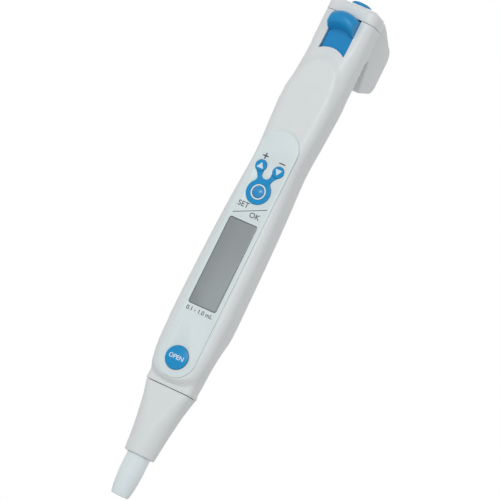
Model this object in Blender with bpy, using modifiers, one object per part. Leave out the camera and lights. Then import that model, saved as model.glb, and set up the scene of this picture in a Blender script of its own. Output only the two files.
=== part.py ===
"""Electronic single-channel pipette, modelled as the separate pieces it is assembled from.

Metres, +Z up along the piston axis, -Y towards the display, +X to the right of someone facing the display.
Every height is counted up from the end of the nozzle. One empty carries the whole assembly and puts the seat
of the finger hook at the world origin, because the pipette hangs by that hook when nobody holds it.
"""

import math

import bmesh
import bpy
from mathutils import Matrix, Vector

# Fits
GAP = 0.0003
SLIDE_GAP = 0.00015
WALL = 0.0015

# Lower end: nozzle, ejector sleeve and cylinder
NOZZLE_SHOWN = 0.0185
NOZZLE_RADIUS = 0.0052
NOZZLE_END_RADIUS = 0.0040
NOZZLE_BORE = 0.0016
FILTER_RADIUS = 0.0024
FILTER_LENGTH = 0.0050
SLEEVE_LENGTH = 0.0303
SLEEVE_RADIUS = 0.0067
SLEEVE_HALF_WIDTH = 0.0106
SLEEVE_HALF_DEPTH = 0.0062
SLEEVE_SEAM = 0.0003
SLEEVE_WALL = 0.0013

# Piston drive
PISTON_RADIUS = 0.0030
PISTON_STROKE = 0.03537
PISTON_LENGTH = 0.0520
CYLINDER_WALL = 0.0013
SEAL_HEIGHT = 0.0016
RETAINER_HEIGHT = 0.0014
GROOVE_HALF = 0.0009
LATCH_WALL = 0.0007
SCREW_RADIUS = 0.0014
MOTOR_LENGTH = 0.0200
NUT_RADIUS = 0.0034
NUT_HEIGHT = 0.0060
GUIDE_ROD_RADIUS = 0.0008
GUIDE_ROD_OVERHANG = 0.0030

# Casing, from its lower rim to the waist and on through grip and shoulder to the head
CHIN_HEIGHT = 0.0135
RELEASE_HEIGHT = 0.0122
WAIST_HEIGHT = 0.1040
GRIP_LENGTH = 0.0300
SHOULDER_LENGTH = 0.0210
HEAD_LENGTH = 0.0174
REAR_COVER_HEIGHT = 0.0215
LOWER_SCREW_RISE = 0.0114
CHIN_HALF_WIDTH = 0.0109
RELEASE_HALF_WIDTH = 0.0123
DISPLAY_HALF_WIDTH = 0.01295
WAIST_HALF_WIDTH = 0.0108
GRIP_HALF_WIDTH = 0.0123
HEAD_HALF_WIDTH = 0.0118
CHIN_FACE = 0.0064
CHIN_REAR = 0.0074
CHIN_TAPER = 0.027
FACE = 0.0098
REAR = 0.0107
HEAD_FACE = 0.0066
HEAD_REAR = 0.0114
PARTING_Y = 0.0056

# Front panel and what shows through it
PANEL_HALF_WIDTH = 0.0087
PANEL_THICKNESS = 0.0011
PANEL_PROUD = 0.0005
PANEL_LOWER_CENTRE = 0.0124
PANEL_WAIST_RISE = 0.0043
DISPLAY_HALF = 0.0068
DISPLAY_LENGTH = 0.0401
DISPLAY_TO_MODE = 0.0135
MODE_TO_ARROWS = 0.0107
ARROWS_TO_WAIST = 0.0044
ARROW_KEY_RADIUS = 0.0025
ARROW_KEY_SPACING = 0.0083
MODE_KEY_RADIUS = 0.0026
MODE_KEY_CROWN = 0.0007
MODE_RING_WIDTH = 0.0006
BEZEL_RADIUS = 0.0054
BEZEL_THICKNESS = 0.0005
KEY_TRAVEL = 0.0004
KEY_STEM_RADIUS = 0.0011
DOME_HEIGHT = 0.0005
NECK_GAP_RADIUS = 0.0021
NECK_GAP_RISE = 0.0079
NECK_HALF = 0.0014
RELEASE_RADIUS = 0.0053
RELEASE_CROWN = 0.0006
RELEASE_TRAVEL = 0.0006
RELEASE_SPRING_THICKNESS = 0.00015
BOARD_THICKNESS = 0.0012
BOARD_FRONT = 0.0053

# Head: cap, finger hook, operating button and ejector lever
CAP_HEIGHT = 0.0060
CAP_SEAM = 0.0003
BUTTON_RADIUS = 0.0046
BUTTON_PROUD = 0.0022
BUTTON_CROWN = 0.0014
BUTTON_Y = 0.0020
BUTTON_TRAVEL = 0.0020
BUTTON_SPRING_RADIUS = 0.0026
BUTTON_FLANGE_WIDTH = 0.0010
SLOT_HALF_WIDTH = 0.00615
SLOT_ARCH = 0.0022
LEVER_LOBE_RADIUS = 0.0039
LEVER_REACH = 0.0130
LEVER_CURVE = 0.0140
LEVER_ARCH = 0.0017
SHELF_FRONT = 0.00695
SKIRT_FRONT = 0.0052
SKIRT_THICKNESS = 0.0016
ROD_RADIUS = 0.0010
ROD_Y = 0.0026
HOOK_HALF_WIDTH = 0.0092
HOOK_BACK = 0.0325
HOOK_DROP = 0.0250
HOOK_MOUTH = 0.0062
HOOK_SEAT_DROP = 0.0122
HOOK_SEAT_WIDTH = 0.0014
HOOK_SLOPE_START = 0.0165
HOOK_SHOULDER_RADIUS = 0.0066
HOOK_FOOT_RADIUS = 0.0044
POST_X = 0.0062
POST_Y = 0.0060

# Power
BATTERY_LENGTH = 0.0550
BATTERY_HALF_WIDTH = 0.0050
BATTERY_THICKNESS = 0.0042
CONTACT_WIDTH = 0.0022
CONTACT_LENGTH = 0.0060

# Fasteners
CASE_SCREW_RADIUS = 0.0010
CASE_SCREW_HEAD = 0.0019
PILLAR_RADIUS = CASE_SCREW_RADIUS + 0.0009

# Farther out than any surface of the pipette, for cuts that go right through
OUTSIDE = 0.0500

# Roundness
ROUND_STEPS = 32
SMALL_STEPS = 16
CORNER_STEPS = 6

# Derived heights
SLEEVE_BOTTOM = NOZZLE_SHOWN
SLEEVE_TOP = SLEEVE_BOTTOM + SLEEVE_LENGTH
BODY_BOTTOM = SLEEVE_TOP + SLEEVE_SEAM
WAIST_Z = BODY_BOTTOM + WAIST_HEIGHT
GRIP_Z = WAIST_Z + GRIP_LENGTH
SILL_Z = GRIP_Z + SHOULDER_LENGTH
BODY_TOP = SILL_Z + HEAD_LENGTH
CAP_BOTTOM = BODY_TOP + CAP_SEAM
CAP_TOP = CAP_BOTTOM + CAP_HEIGHT
RELEASE_Z = BODY_BOTTOM + RELEASE_HEIGHT
ARROW_Z = WAIST_Z - ARROWS_TO_WAIST
MODE_Z = ARROW_Z - MODE_TO_ARROWS
DISPLAY_TOP = MODE_Z - DISPLAY_TO_MODE
DISPLAY_BOTTOM = DISPLAY_TOP - DISPLAY_LENGTH
REAR_BOTTOM = BODY_BOTTOM + REAR_COVER_HEIGHT

# Derived depths of the front panel, all on the -Y side
PANEL_FRONT = FACE + PANEL_PROUD
PANEL_BACK = PANEL_FRONT - PANEL_THICKNESS
POCKET_FLOOR = PANEL_BACK - GAP
BEZEL_FLOOR = PANEL_FRONT - BEZEL_THICKNESS
BEZEL_FRONT = BEZEL_FLOOR + GAP + BEZEL_THICKNESS
MODE_RING_RADIUS = MODE_KEY_RADIUS + SLIDE_GAP + MODE_RING_WIDTH

# Derived sizes of the drive
CYLINDER_BORE = PISTON_RADIUS + 0.0002
CYLINDER_RADIUS = CYLINDER_BORE + CYLINDER_WALL
CYLINDER_BOTTOM = NOZZLE_SHOWN + 0.0023
PISTON_BOTTOM = CYLINDER_BOTTOM + 0.0015
SEAL_Z = RELEASE_Z + GROOVE_HALF + 0.0025
CYLINDER_TOP = SEAL_Z + SEAL_HEIGHT + 0.0006
BOARD_BOTTOM = CYLINDER_TOP + GAP + RETAINER_HEIGHT + 0.0007
PISTON_TOP = PISTON_BOTTOM + PISTON_LENGTH
MOTOR_BOTTOM = WAIST_Z + 0.0125
MOTOR_TOP = MOTOR_BOTTOM + MOTOR_LENGTH
NUT_BOTTOM = MOTOR_BOTTOM - 0.0040 - NUT_HEIGHT - PISTON_STROKE
SCREW_BOTTOM = NUT_BOTTOM - 0.0020
ROD_X = WAIST_HALF_WIDTH - WALL - ROD_RADIUS - 0.0007
MOTOR_RADIUS = math.hypot(ROD_X, ROD_Y) - ROD_RADIUS - GAP
GUIDE_X = NUT_RADIUS + GUIDE_ROD_RADIUS + 0.0014
GUIDE_Y = -0.0010
TUBE_RADIUS = SCREW_RADIUS + 0.0012
COLLAR_GROOVE = CYLINDER_BORE + 0.0007
LATCH_CENTRE = RELEASE_TRAVEL
LATCH_RADIUS = CYLINDER_RADIUS + 0.0003 + LATCH_WALL

# Derived places in the head
BRACKET_Z = MOTOR_TOP + GAP
BRACKET_THICKNESS = 0.0016
LEVER_Z = BODY_TOP - GAP - LEVER_LOBE_RADIUS
ARM_Z = SILL_Z + 0.0030
ARM_THICKNESS = 0.0020
ROD_BOTTOM = SLEEVE_TOP - 0.0062
ROD_TOP = ARM_Z + ARM_THICKNESS + 0.0008
HOOK_ROOT_Y = HEAD_REAR - 0.0026
HOOK_ROOT_Z = CAP_BOTTOM - HOOK_SEAT_DROP
HOOK_SEAT_Y = HEAD_REAR + HOOK_SEAT_WIDTH / 2
CEILING_Z = CAP_TOP - 0.0018
FLANGE_THICKNESS = 0.0018
BUTTON_BOARD_Z = ARM_Z + ARM_THICKNESS + 0.0040
SWITCH_HEIGHT = 0.0020
NECK_GAP_Z = MODE_Z + NECK_GAP_RISE
REAR_TOP = HOOK_ROOT_Z - GAP

LOWER_LENGTH = WAIST_HEIGHT - CHIN_HEIGHT

# Rows of the casing's form: height above the nozzle end, half width, front, rear, front corner, rear corner
BODY_ROWS = (
    (BODY_BOTTOM + 0.0012, CHIN_HALF_WIDTH - 0.0003, FACE, CHIN_REAR - 0.0003, 0.0036, 0.0054),
    (BODY_BOTTOM + CHIN_HEIGHT * 0.52, (CHIN_HALF_WIDTH + RELEASE_HALF_WIDTH) / 2, FACE, CHIN_REAR, 0.0037, 0.0074),
    (BODY_BOTTOM + CHIN_HEIGHT, RELEASE_HALF_WIDTH, FACE, CHIN_REAR, 0.0038, 0.0090),
    (WAIST_Z - LOWER_LENGTH * 0.945, DISPLAY_HALF_WIDTH - 0.0003, FACE, CHIN_REAR + 0.0004, 0.0039, 0.0090),
    (WAIST_Z - LOWER_LENGTH * 0.890, DISPLAY_HALF_WIDTH - 0.0002, FACE, (CHIN_REAR + REAR) / 2, 0.0040, 0.0090),
    (WAIST_Z - LOWER_LENGTH * 0.829, DISPLAY_HALF_WIDTH, FACE, REAR - 0.0001, 0.0040, 0.0090),
    (WAIST_Z - LOWER_LENGTH * 0.707, DISPLAY_HALF_WIDTH, FACE, REAR, 0.0040, 0.0090),
    (WAIST_Z - LOWER_LENGTH * 0.431, DISPLAY_HALF_WIDTH - 0.0004, FACE, REAR - 0.0003, 0.0040, 0.0090),
    (WAIST_Z - LOWER_LENGTH * 0.221, (DISPLAY_HALF_WIDTH + WAIST_HALF_WIDTH) / 2, FACE, REAR - 0.0002, 0.0040, 0.0090),
    (WAIST_Z, WAIST_HALF_WIDTH, FACE, REAR, 0.0040, 0.0088),
    ((WAIST_Z + GRIP_Z) / 2, (WAIST_HALF_WIDTH + GRIP_HALF_WIDTH) / 2, FACE, REAR, 0.0040, 0.0088),
    (GRIP_Z, GRIP_HALF_WIDTH, FACE, REAR, 0.0042, 0.0088),
    (SILL_Z - SHOULDER_LENGTH * 0.69, HEAD_HALF_WIDTH + 0.0002, FACE - 0.0010, REAR + 0.0003, 0.0046, 0.0088),
    (SILL_Z - SHOULDER_LENGTH * 0.33, HEAD_HALF_WIDTH, FACE - 0.0016, HEAD_REAR, 0.0058, 0.0088),
    (SILL_Z + HEAD_LENGTH * 0.06, HEAD_HALF_WIDTH, HEAD_FACE + 0.0006, HEAD_REAR, 0.0056, 0.0088),
    (SILL_Z + HEAD_LENGTH * 0.23, HEAD_HALF_WIDTH, HEAD_FACE, HEAD_REAR, 0.0044, 0.0088),
    (BODY_TOP, HEAD_HALF_WIDTH - 0.0001, HEAD_FACE, HEAD_REAR, 0.0040, 0.0088),
)
SLEEVE_ROWS = (
    (0.0, SLEEVE_RADIUS, SLEEVE_RADIUS, SLEEVE_RADIUS, SLEEVE_RADIUS - 0.0002, SLEEVE_RADIUS - 0.0002),
    (0.33, SLEEVE_RADIUS + 0.0009, 0.0072, 0.0073, 0.0068, 0.0068),
    (0.56, SLEEVE_RADIUS + 0.0017, 0.0070, 0.0072, 0.0058, 0.0062),
    (0.76, SLEEVE_HALF_WIDTH - 0.0014, 0.0066, 0.0071, 0.0045, 0.0056),
    (0.90, SLEEVE_HALF_WIDTH - 0.0006, 0.0064, 0.0071, 0.0034, 0.0051),
    (1.0, SLEEVE_HALF_WIDTH, SLEEVE_HALF_DEPTH, CHIN_REAR - 0.0003, 0.0026, 0.0048),
)
# Rows of the cap: share of its height and how far it is drawn in
CAP_STEPS = (
    (0.0, 0.0), (0.60, 0.0), (0.78, 0.00025), (0.88, 0.0007), (0.95, 0.0015), (0.985, 0.0028), (1.0, 0.0046),
)
# Slices of the finger hook: place across and how far its outline is drawn in
HOOK_SLICES = (
    (-HOOK_HALF_WIDTH, 0.0012), (0.0002 - HOOK_HALF_WIDTH, 0.0006), (0.0007 - HOOK_HALF_WIDTH, 0.00015),
    (0.0013 - HOOK_HALF_WIDTH, 0.0), (HOOK_HALF_WIDTH - 0.0013, 0.0), (HOOK_HALF_WIDTH - 0.0007, 0.00015),
    (HOOK_HALF_WIDTH - 0.0002, 0.0006), (HOOK_HALF_WIDTH, 0.0012),
)

# Colours as linear RGB, with roughness and metallic value
BODY_GREY = ((0.66, 0.69, 0.70), 0.42, 0.0)
PANEL_GREY = ((0.63, 0.71, 0.73), 0.35, 0.0)
KEY_BLUE = ((0.021, 0.225, 0.495), 0.30, 0.0)
DISPLAY_GREY = ((0.286, 0.313, 0.313), 0.25, 0.0)
NOZZLE_WHITE = ((0.55, 0.60, 0.62), 0.22, 0.0)
WHITE_PLASTIC = ((0.80, 0.82, 0.82), 0.45, 0.0)
STEEL = ((0.56, 0.57, 0.58), 0.28, 1.0)
SPRING_STEEL = ((0.42, 0.43, 0.45), 0.32, 1.0)
BRASS = ((0.60, 0.43, 0.17), 0.30, 1.0)
BLACK_RUBBER = ((0.02, 0.02, 0.02), 0.70, 0.0)
BOARD_GREEN = ((0.02, 0.16, 0.07), 0.45, 0.0)
CELL_WRAP = ((0.10, 0.12, 0.16), 0.40, 0.0)
BLACK_PLASTIC = ((0.03, 0.03, 0.03), 0.50, 0.0)
FILTER_WHITE = ((0.85, 0.85, 0.82), 0.85, 0.0)


def clear_scene():
    """Empty the scene that the script starts in."""
    for scene_object in list(bpy.data.objects):
        bpy.data.objects.remove(scene_object, do_unlink=True)


clear_scene()
PARTS = bpy.data.collections.new("electronic_pipette")
CUTTERS = bpy.data.collections.new("pipette_cutters")
bpy.context.scene.collection.children.link(PARTS)
bpy.context.scene.collection.children.link(CUTTERS)

FRAME = bpy.data.objects.new("pipette_frame", None)
FRAME.location = (0.0, -HOOK_SEAT_Y, -HOOK_ROOT_Z)
PARTS.objects.link(FRAME)


def add_piece(name, form, finish, location=(0.0, 0.0, 0.0)):
    """Put a mesh or a curve in the assembly as one named piece with a material of its own."""
    colour, roughness, metallic = finish
    material = bpy.data.materials.new(name + "_material")
    material.use_nodes = True
    shader = material.node_tree.nodes["Principled BSDF"]
    shader.inputs["Base Color"].default_value = (*colour, 1.0)
    shader.inputs["Roughness"].default_value = roughness
    shader.inputs["Metallic"].default_value = metallic
    form.materials.append(material)
    piece = bpy.data.objects.new(name, form)
    piece.parent = FRAME
    piece.location = location
    PARTS.objects.link(piece)
    return piece


def add_cutter(name, mesh, location=(0.0, 0.0, 0.0)):
    """Put a mesh among the cutters, drawn as wire and left out of renders."""
    cutter = bpy.data.objects.new(name, mesh)
    cutter.parent = FRAME
    cutter.location = location
    cutter.display_type = "WIRE"
    cutter.hide_render = True
    CUTTERS.objects.link(cutter)
    return cutter


def combine(target, tool, operation):
    """Add a Boolean modifier with the tool object."""
    modifier = target.modifiers.new(operation.lower() + "_" + tool.name, "BOOLEAN")
    modifier.operation = operation
    modifier.solver = "EXACT"
    modifier.object = tool
    return modifier


def cut(target, tool):
    return combine(target, tool, "DIFFERENCE")


def join(target, tool):
    return combine(target, tool, "UNION")


def keep_inside(target, tool):
    return combine(target, tool, "INTERSECT")


def round_edges(piece, width, segments=2, angle=0.6):
    """Bevel the edges that turn more sharply than the angle."""
    bevel = piece.modifiers.new("rounded_edges", "BEVEL")
    bevel.width = width
    bevel.segments = segments
    bevel.limit_method = "ANGLE"
    bevel.angle_limit = angle
    return bevel


def shade_round(mesh):
    """Smooth the round faces and keep the edges crisp."""
    mesh.shade_smooth()
    mesh.set_sharp_from_angle(angle=math.radians(35.0))


def mesh_from(build, name, smooth=False):
    """Make a mesh from a filled bmesh, with its faces turned outwards."""
    bmesh.ops.recalc_face_normals(build, faces=build.faces)
    mesh = bpy.data.meshes.new(name)
    build.to_mesh(mesh)
    build.free()
    if smooth:
        shade_round(mesh)
    return mesh


def box_mesh(name, low, high):
    """A box between two corners."""
    build = bmesh.new()
    bmesh.ops.create_cube(build, size=1.0)
    size = Vector(high) - Vector(low)
    centre = (Vector(high) + Vector(low)) / 2
    for vertex in build.verts:
        vertex.co = Vector((vertex.co.x * size.x, vertex.co.y * size.y, vertex.co.z * size.z)) + centre
    return mesh_from(build, name)


def cylinder_mesh(name, radius, start, end, steps=SMALL_STEPS):
    """A round bar from one point to another."""
    start = Vector(start)
    end = Vector(end)
    build = bmesh.new()
    bmesh.ops.create_cone(
        build, cap_ends=True, segments=steps, radius1=radius, radius2=radius, depth=(end - start).length
    )
    turn = Vector((0.0, 0.0, 1.0)).rotation_difference(end - start).to_matrix().to_4x4()
    bmesh.ops.transform(build, matrix=Matrix.Translation((start + end) / 2) @ turn, verts=build.verts)
    return mesh_from(build, name, smooth=True)


def loft_mesh(name, rings, smooth=True):
    """Skin a stack of rings that have the same number of points, and close both ends."""
    build = bmesh.new()
    rows = [[build.verts.new(point) for point in ring] for ring in rings]
    count = len(rows[0])
    for lower, upper in zip(rows, rows[1:]):
        for index in range(count):
            following = (index + 1) % count
            build.faces.new((lower[index], lower[following], upper[following], upper[index]))
    build.faces.new(reversed(rows[0]))
    build.faces.new(rows[-1])
    return mesh_from(build, name, smooth)


def turned_piece(name, profile, finish, location=(0.0, 0.0, 0.0), steps=ROUND_STEPS, closed=True, facing=None):
    """A solid of revolution: the profile's (radius, height) points run down the outer side first."""
    mesh = turned_profile(name, profile, closed)
    piece = add_piece(name, mesh, finish, location)
    spin(piece, steps)
    if facing is not None:
        piece.rotation_euler = facing
    return piece


def turned_profile(name, profile, closed):
    """The edges of a profile that a Screw modifier turns round the Z axis."""
    count = len(profile)
    edges = [(index, index + 1) for index in range(count - 1)]
    if closed:
        edges.append((count - 1, 0))
    mesh = bpy.data.meshes.new(name)
    mesh.from_pydata([(radius, 0.0, height) for radius, height in profile], edges, [])
    return mesh


def spin(piece, steps):
    """Turn the profile through a full circle."""
    screw = piece.modifiers.new("turned", "SCREW")
    screw.axis = "Z"
    screw.angle = math.tau
    screw.steps = steps
    screw.render_steps = steps
    screw.use_merge_vertices = True
    screw.merge_threshold = 0.00001
    screw.use_normal_calculate = False
    screw.use_smooth_shade = True


def outline_mesh(name, points, front, back):
    """A flat outline of (x, z) points in the front view, as thick as the two depths say."""
    near = [Vector((x, -front, z)) for x, z in points]
    far = [Vector((x, -back, z)) for x, z in points]
    return loft_mesh(name, (near, far), smooth=False)


def arc(centre, radius, start, end, steps):
    """Points along an arc in a plane, from one angle in degrees to another."""
    angles = [math.radians(start + (end - start) * step / steps) for step in range(steps + 1)]
    return [(centre[0] + radius * math.cos(angle), centre[1] + radius * math.sin(angle)) for angle in angles]


def section(row, offset, steps):
    """One cross section of the casing as a ring, seen from above and going anticlockwise."""
    height, half_width, front, rear, front_corner, rear_corner = row
    half_width -= offset
    front -= offset
    rear -= offset
    front_corner = max(front_corner - offset, 0.0008)
    rear_corner = max(rear_corner - offset, 0.0008)
    right_front = arc((half_width - front_corner, front_corner - front), front_corner, -90, 0, steps)
    right_rear = arc((half_width - rear_corner, rear - rear_corner), rear_corner, 0, 90, steps)
    right = right_front + right_rear
    ring = right + [(-x, y) for x, y in reversed(right)]
    points = [Vector((x, y, height)) for x, y in ring]
    distinct = [points[0]]
    for point in points[1:]:
        if (point - distinct[-1]).length > 0.00001:
            distinct.append(point)
    return distinct


def smooth_rows(rows, between):
    """Rows on a smooth curve through the given ones, with some more between each pair."""
    padded = [rows[0], *rows, rows[-1]]
    result = []
    for before, start, end, after in zip(padded, padded[1:], padded[2:], padded[3:]):
        for step in range(between):
            t = step / between
            result.append(tuple(curve_value(*values, t) for values in zip(before, start, end, after)))
    result.append(rows[-1])
    return result


def curve_value(before, start, end, after, t):
    """A value on the Catmull-Rom curve between start and end."""
    slope_start = (end - before) / 2
    slope_end = (after - start) / 2
    square = t * t
    cube = square * t
    return (
        (2 * cube - 3 * square + 1) * start
        + (cube - 2 * square + t) * slope_start
        + (3 * square - 2 * cube) * end
        + (cube - square) * slope_end
    )


def casing_rows():
    """The casing's rows with one more between each pair."""
    return smooth_rows(BODY_ROWS, 2)


def lower_rows(low, high):
    """The plain lower stretch of the casing, which carries on the form of the sleeve."""
    rows = []
    for height in (low, high):
        taper = (height - BODY_BOTTOM) * CHIN_TAPER
        rows.append((height, CHIN_HALF_WIDTH - taper, CHIN_FACE, CHIN_REAR - taper, 0.0026, 0.0050))
    return rows


def chin_outline(grow):
    """Front view of the casing's raised front: an arched lower end, open at the top."""
    across = RELEASE_HALF_WIDTH - 0.0005 + grow
    down = CHIN_HEIGHT - 0.0035 + grow
    centre = BODY_BOTTOM + CHIN_HEIGHT
    points = []
    for step in range(SMALL_STEPS + 1):
        angle = math.pi + math.pi * step / SMALL_STEPS
        points.append((across * math.cos(angle), centre + down * math.sin(angle)))
    wide = DISPLAY_HALF_WIDTH + 0.0070
    above = centre + 0.0040
    beyond = BODY_TOP + 0.0100
    return points + [(wide, above), (wide, beyond), (-wide, beyond), (-wide, above)]


def settled_mesh(worked, name):
    """The mesh that an object's modifiers give, free of the slivers that they leave."""
    bpy.context.view_layer.update()
    evaluated = worked.evaluated_get(bpy.context.evaluated_depsgraph_get())
    mesh = bpy.data.meshes.new_from_object(evaluated)
    build = bmesh.new()
    build.from_mesh(mesh)
    bmesh.ops.remove_doubles(build, verts=build.verts, dist=0.000002)
    bmesh.ops.dissolve_degenerate(build, dist=0.000002, edges=build.edges)
    build.to_mesh(mesh)
    build.free()
    mesh.name = name
    return mesh


def casing_outside(name):
    """The whole outer form of the casing as one closed solid."""
    rings = [section(row, 0.0, CORNER_STEPS) for row in casing_rows()]
    upper = add_cutter(name + "_upper", loft_mesh(name, rings))
    near = [Vector((x, -FACE - 0.0027, z)) for x, z in chin_outline(-0.0014)]
    far = [Vector((x, HEAD_REAR + 0.0031, z)) for x, z in chin_outline(0.0129)]
    arch = add_cutter(name + "_arch", loft_mesh(name + "_arch", (near, far), smooth=False))
    keep_inside(upper, arch)
    rows = lower_rows(BODY_BOTTOM, BODY_BOTTOM + 0.0150)
    rings = [section(row, 0.0, CORNER_STEPS) for row in rows]
    lower = add_cutter(name + "_lower", loft_mesh(name + "_lower", rings))
    join(upper, lower)
    return settled_mesh(upper, name)


def casing_inside(name):
    """The hollow of the casing, open at both ends."""
    rings = []
    for row in lower_rows(BODY_BOTTOM - 0.0010, BODY_BOTTOM + 0.0060):
        rings.append(section(row, WALL, 4))
    for row in BODY_ROWS[1:]:
        rings.append(section(row, WALL, 4))
    last = rings[-1]
    rings.append([point + Vector((0.0, 0.0, 0.0010)) for point in last])
    return add_cutter(name, loft_mesh(name, rings))


CASING_HOLLOW = casing_inside("casing_hollow")
CASING_OUTSIDE = casing_outside("casing_outside")


def screw_places():
    """Where the three case screws go, as (x, z) seen from behind."""
    left = -(WAIST_HALF_WIDTH - WALL - PILLAR_RADIUS - 0.0005)
    return ((left, REAR_BOTTOM + LOWER_SCREW_RISE), (left, WAIST_Z - 0.0002), (0.0, MOTOR_TOP + 0.0052))


def front_shell():
    """The front casing: a tube below and in the head, a trough between them."""
    shell = casing_piece("front_shell")
    cut(shell, CASING_HOLLOW)
    rear_gap = box_mesh("rear_gap", (-OUTSIDE, PARTING_Y, REAR_BOTTOM), (OUTSIDE, OUTSIDE, REAR_TOP + 0.0001))
    cut(shell, add_cutter("rear_gap", rear_gap))
    root_low = (-OUTSIDE, HOOK_ROOT_Y - GAP, REAR_TOP - 0.0001)
    root_gap = box_mesh("root_gap", root_low, (OUTSIDE, OUTSIDE, BODY_TOP + 0.0100))
    cut(shell, add_cutter("root_gap", root_gap))
    cut(shell, panel_outline_cutter("panel_pocket", SLIDE_GAP, PANEL_FRONT + 0.002, POCKET_FLOOR))
    cut(shell, lever_slot())
    for name, (x, z), radius in key_places():
        hole = cylinder_mesh(name + "_bore", radius, (x, -FACE - 0.001, z), (x, -FACE + 0.004, z))
        cut(shell, add_cutter(name + "_bore", hole))
    opening = box_mesh(
        "display_opening",
        (-DISPLAY_HALF + 0.0004, -FACE - 0.001, DISPLAY_BOTTOM + 0.0004),
        (DISPLAY_HALF - 0.0004, -FACE + 0.004, DISPLAY_TOP - 0.0004),
    )
    cut(shell, add_cutter("display_opening", opening))
    for index, (x, z) in enumerate(screw_places(), 1):
        name = "screw_pillar_%d" % index
        pillar = cylinder_mesh(name, PILLAR_RADIUS, (x, -FACE + WALL - 0.0003, z), (x, PARTING_Y, z))
        join(shell, add_cutter(name, pillar))
        pilot = cylinder_mesh(name + "_pilot", CASE_SCREW_RADIUS + SLIDE_GAP, (x, 0.0, z), (x, REAR, z))
        cut(shell, add_cutter(name + "_pilot", pilot))
    return shell


def casing_piece(name):
    """A piece that starts as the casing's whole outer form."""
    mesh = CASING_OUTSIDE.copy()
    mesh.name = name
    shade_round(mesh)
    return add_piece(name, mesh, BODY_GREY)


def panel_outline(grow):
    """Front view of the panel: straight sides and round ends, as (x, z) points."""
    radius = PANEL_HALF_WIDTH + grow
    lower = arc((0.0, BODY_BOTTOM + PANEL_LOWER_CENTRE), radius, 180, 360, 16)
    upper = arc((0.0, WAIST_Z + PANEL_WAIST_RISE), radius, 0, 180, 16)
    return lower + upper


def panel_outline_cutter(name, grow, front, back):
    return add_cutter(name, outline_mesh(name, panel_outline(grow), front, back))


def key_places():
    """Name, (x, z) and bore radius in the casing of each thing that is pressed from the front."""
    half = ARROW_KEY_SPACING / 2
    stem = KEY_STEM_RADIUS + SLIDE_GAP * 2
    return (
        ("key_up", (-half, ARROW_Z), stem),
        ("key_down", (half, ARROW_Z), stem),
        ("key_mode", (0.0, MODE_Z), stem),
        ("release_button", (0.0, RELEASE_Z), RELEASE_RADIUS / 2 + GAP),
    )


def lever_slot():
    """The slot in the head that the ejector lever comes through, with an arched sill and an open top."""
    sill = SILL_Z + 0.0001
    rise = SLOT_ARCH
    half = SLOT_HALF_WIDTH
    radius = (half * half + rise * rise) / (2 * rise)
    spread = math.degrees(math.asin(half / radius))
    bottom = arc((0.0, sill + rise - radius), radius, 90 + spread, 90 - spread, 8)
    points = bottom + [(half, BODY_TOP + 0.002), (-half, BODY_TOP + 0.002)]
    return add_cutter("lever_slot", outline_mesh("lever_slot", points, FACE + 0.005, HEAD_FACE - 0.0042))


def rear_shell():
    """The rear casing: the shallow cover that three screws hold on."""
    shell = casing_piece("rear_shell")
    cut(shell, CASING_HOLLOW)
    seat = PARTING_Y + GAP + 0.0015
    for index, (x, z) in enumerate(screw_places(), 1):
        name = "screw_boss_%d" % index
        boss = cylinder_mesh(name, CASE_SCREW_HEAD + 0.0009, (x, PARTING_Y + GAP, z), (x, REAR + 0.002, z))
        boss = add_cutter(name, boss)
        keep_inside(boss, CASING_FORM)
        join(shell, boss)
        sink = cylinder_mesh(name + "_sink", CASE_SCREW_HEAD + GAP, (x, seat, z), (x, REAR + 0.004, z))
        cut(shell, add_cutter(name + "_sink", sink))
        hole = cylinder_mesh(name + "_hole", CASE_SCREW_RADIUS + SLIDE_GAP, (x, 0.0, z), (x, REAR, z))
        cut(shell, add_cutter(name + "_hole", hole))
    window = box_mesh("rear_window", (-OUTSIDE, PARTING_Y + GAP, REAR_BOTTOM + GAP), (OUTSIDE, OUTSIDE, REAR_TOP))
    keep_inside(shell, add_cutter("rear_window", window))
    for name, low, high in contact_boxes(SLIDE_GAP, REAR + 0.001):
        cut(shell, add_cutter(name + "_hole", box_mesh(name + "_hole", low, high)))
    return shell


def contact_boxes(grow, outer):
    """The two charging contacts as boxes through the rear cover, below the finger hook."""
    boxes = []
    middle = GRIP_Z - 0.0100
    for name, side in (("charge_contact_left", -1), ("charge_contact_right", 1)):
        x = side * CONTACT_WIDTH
        low = (x - CONTACT_WIDTH / 2 - grow, REAR - WALL - 0.0006, middle - CONTACT_LENGTH / 2 - grow)
        high = (x + CONTACT_WIDTH / 2 + grow, outer, middle + CONTACT_LENGTH / 2 + grow)
        boxes.append((name, low, high))
    return boxes


def charge_contacts():
    """Brass pads that meet the charging stand."""
    for name, low, high in contact_boxes(0.0, REAR - 0.00005):
        pad = add_piece(name, box_mesh(name, low, high), BRASS)
        round_edges(pad, 0.0002, 1)


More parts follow.
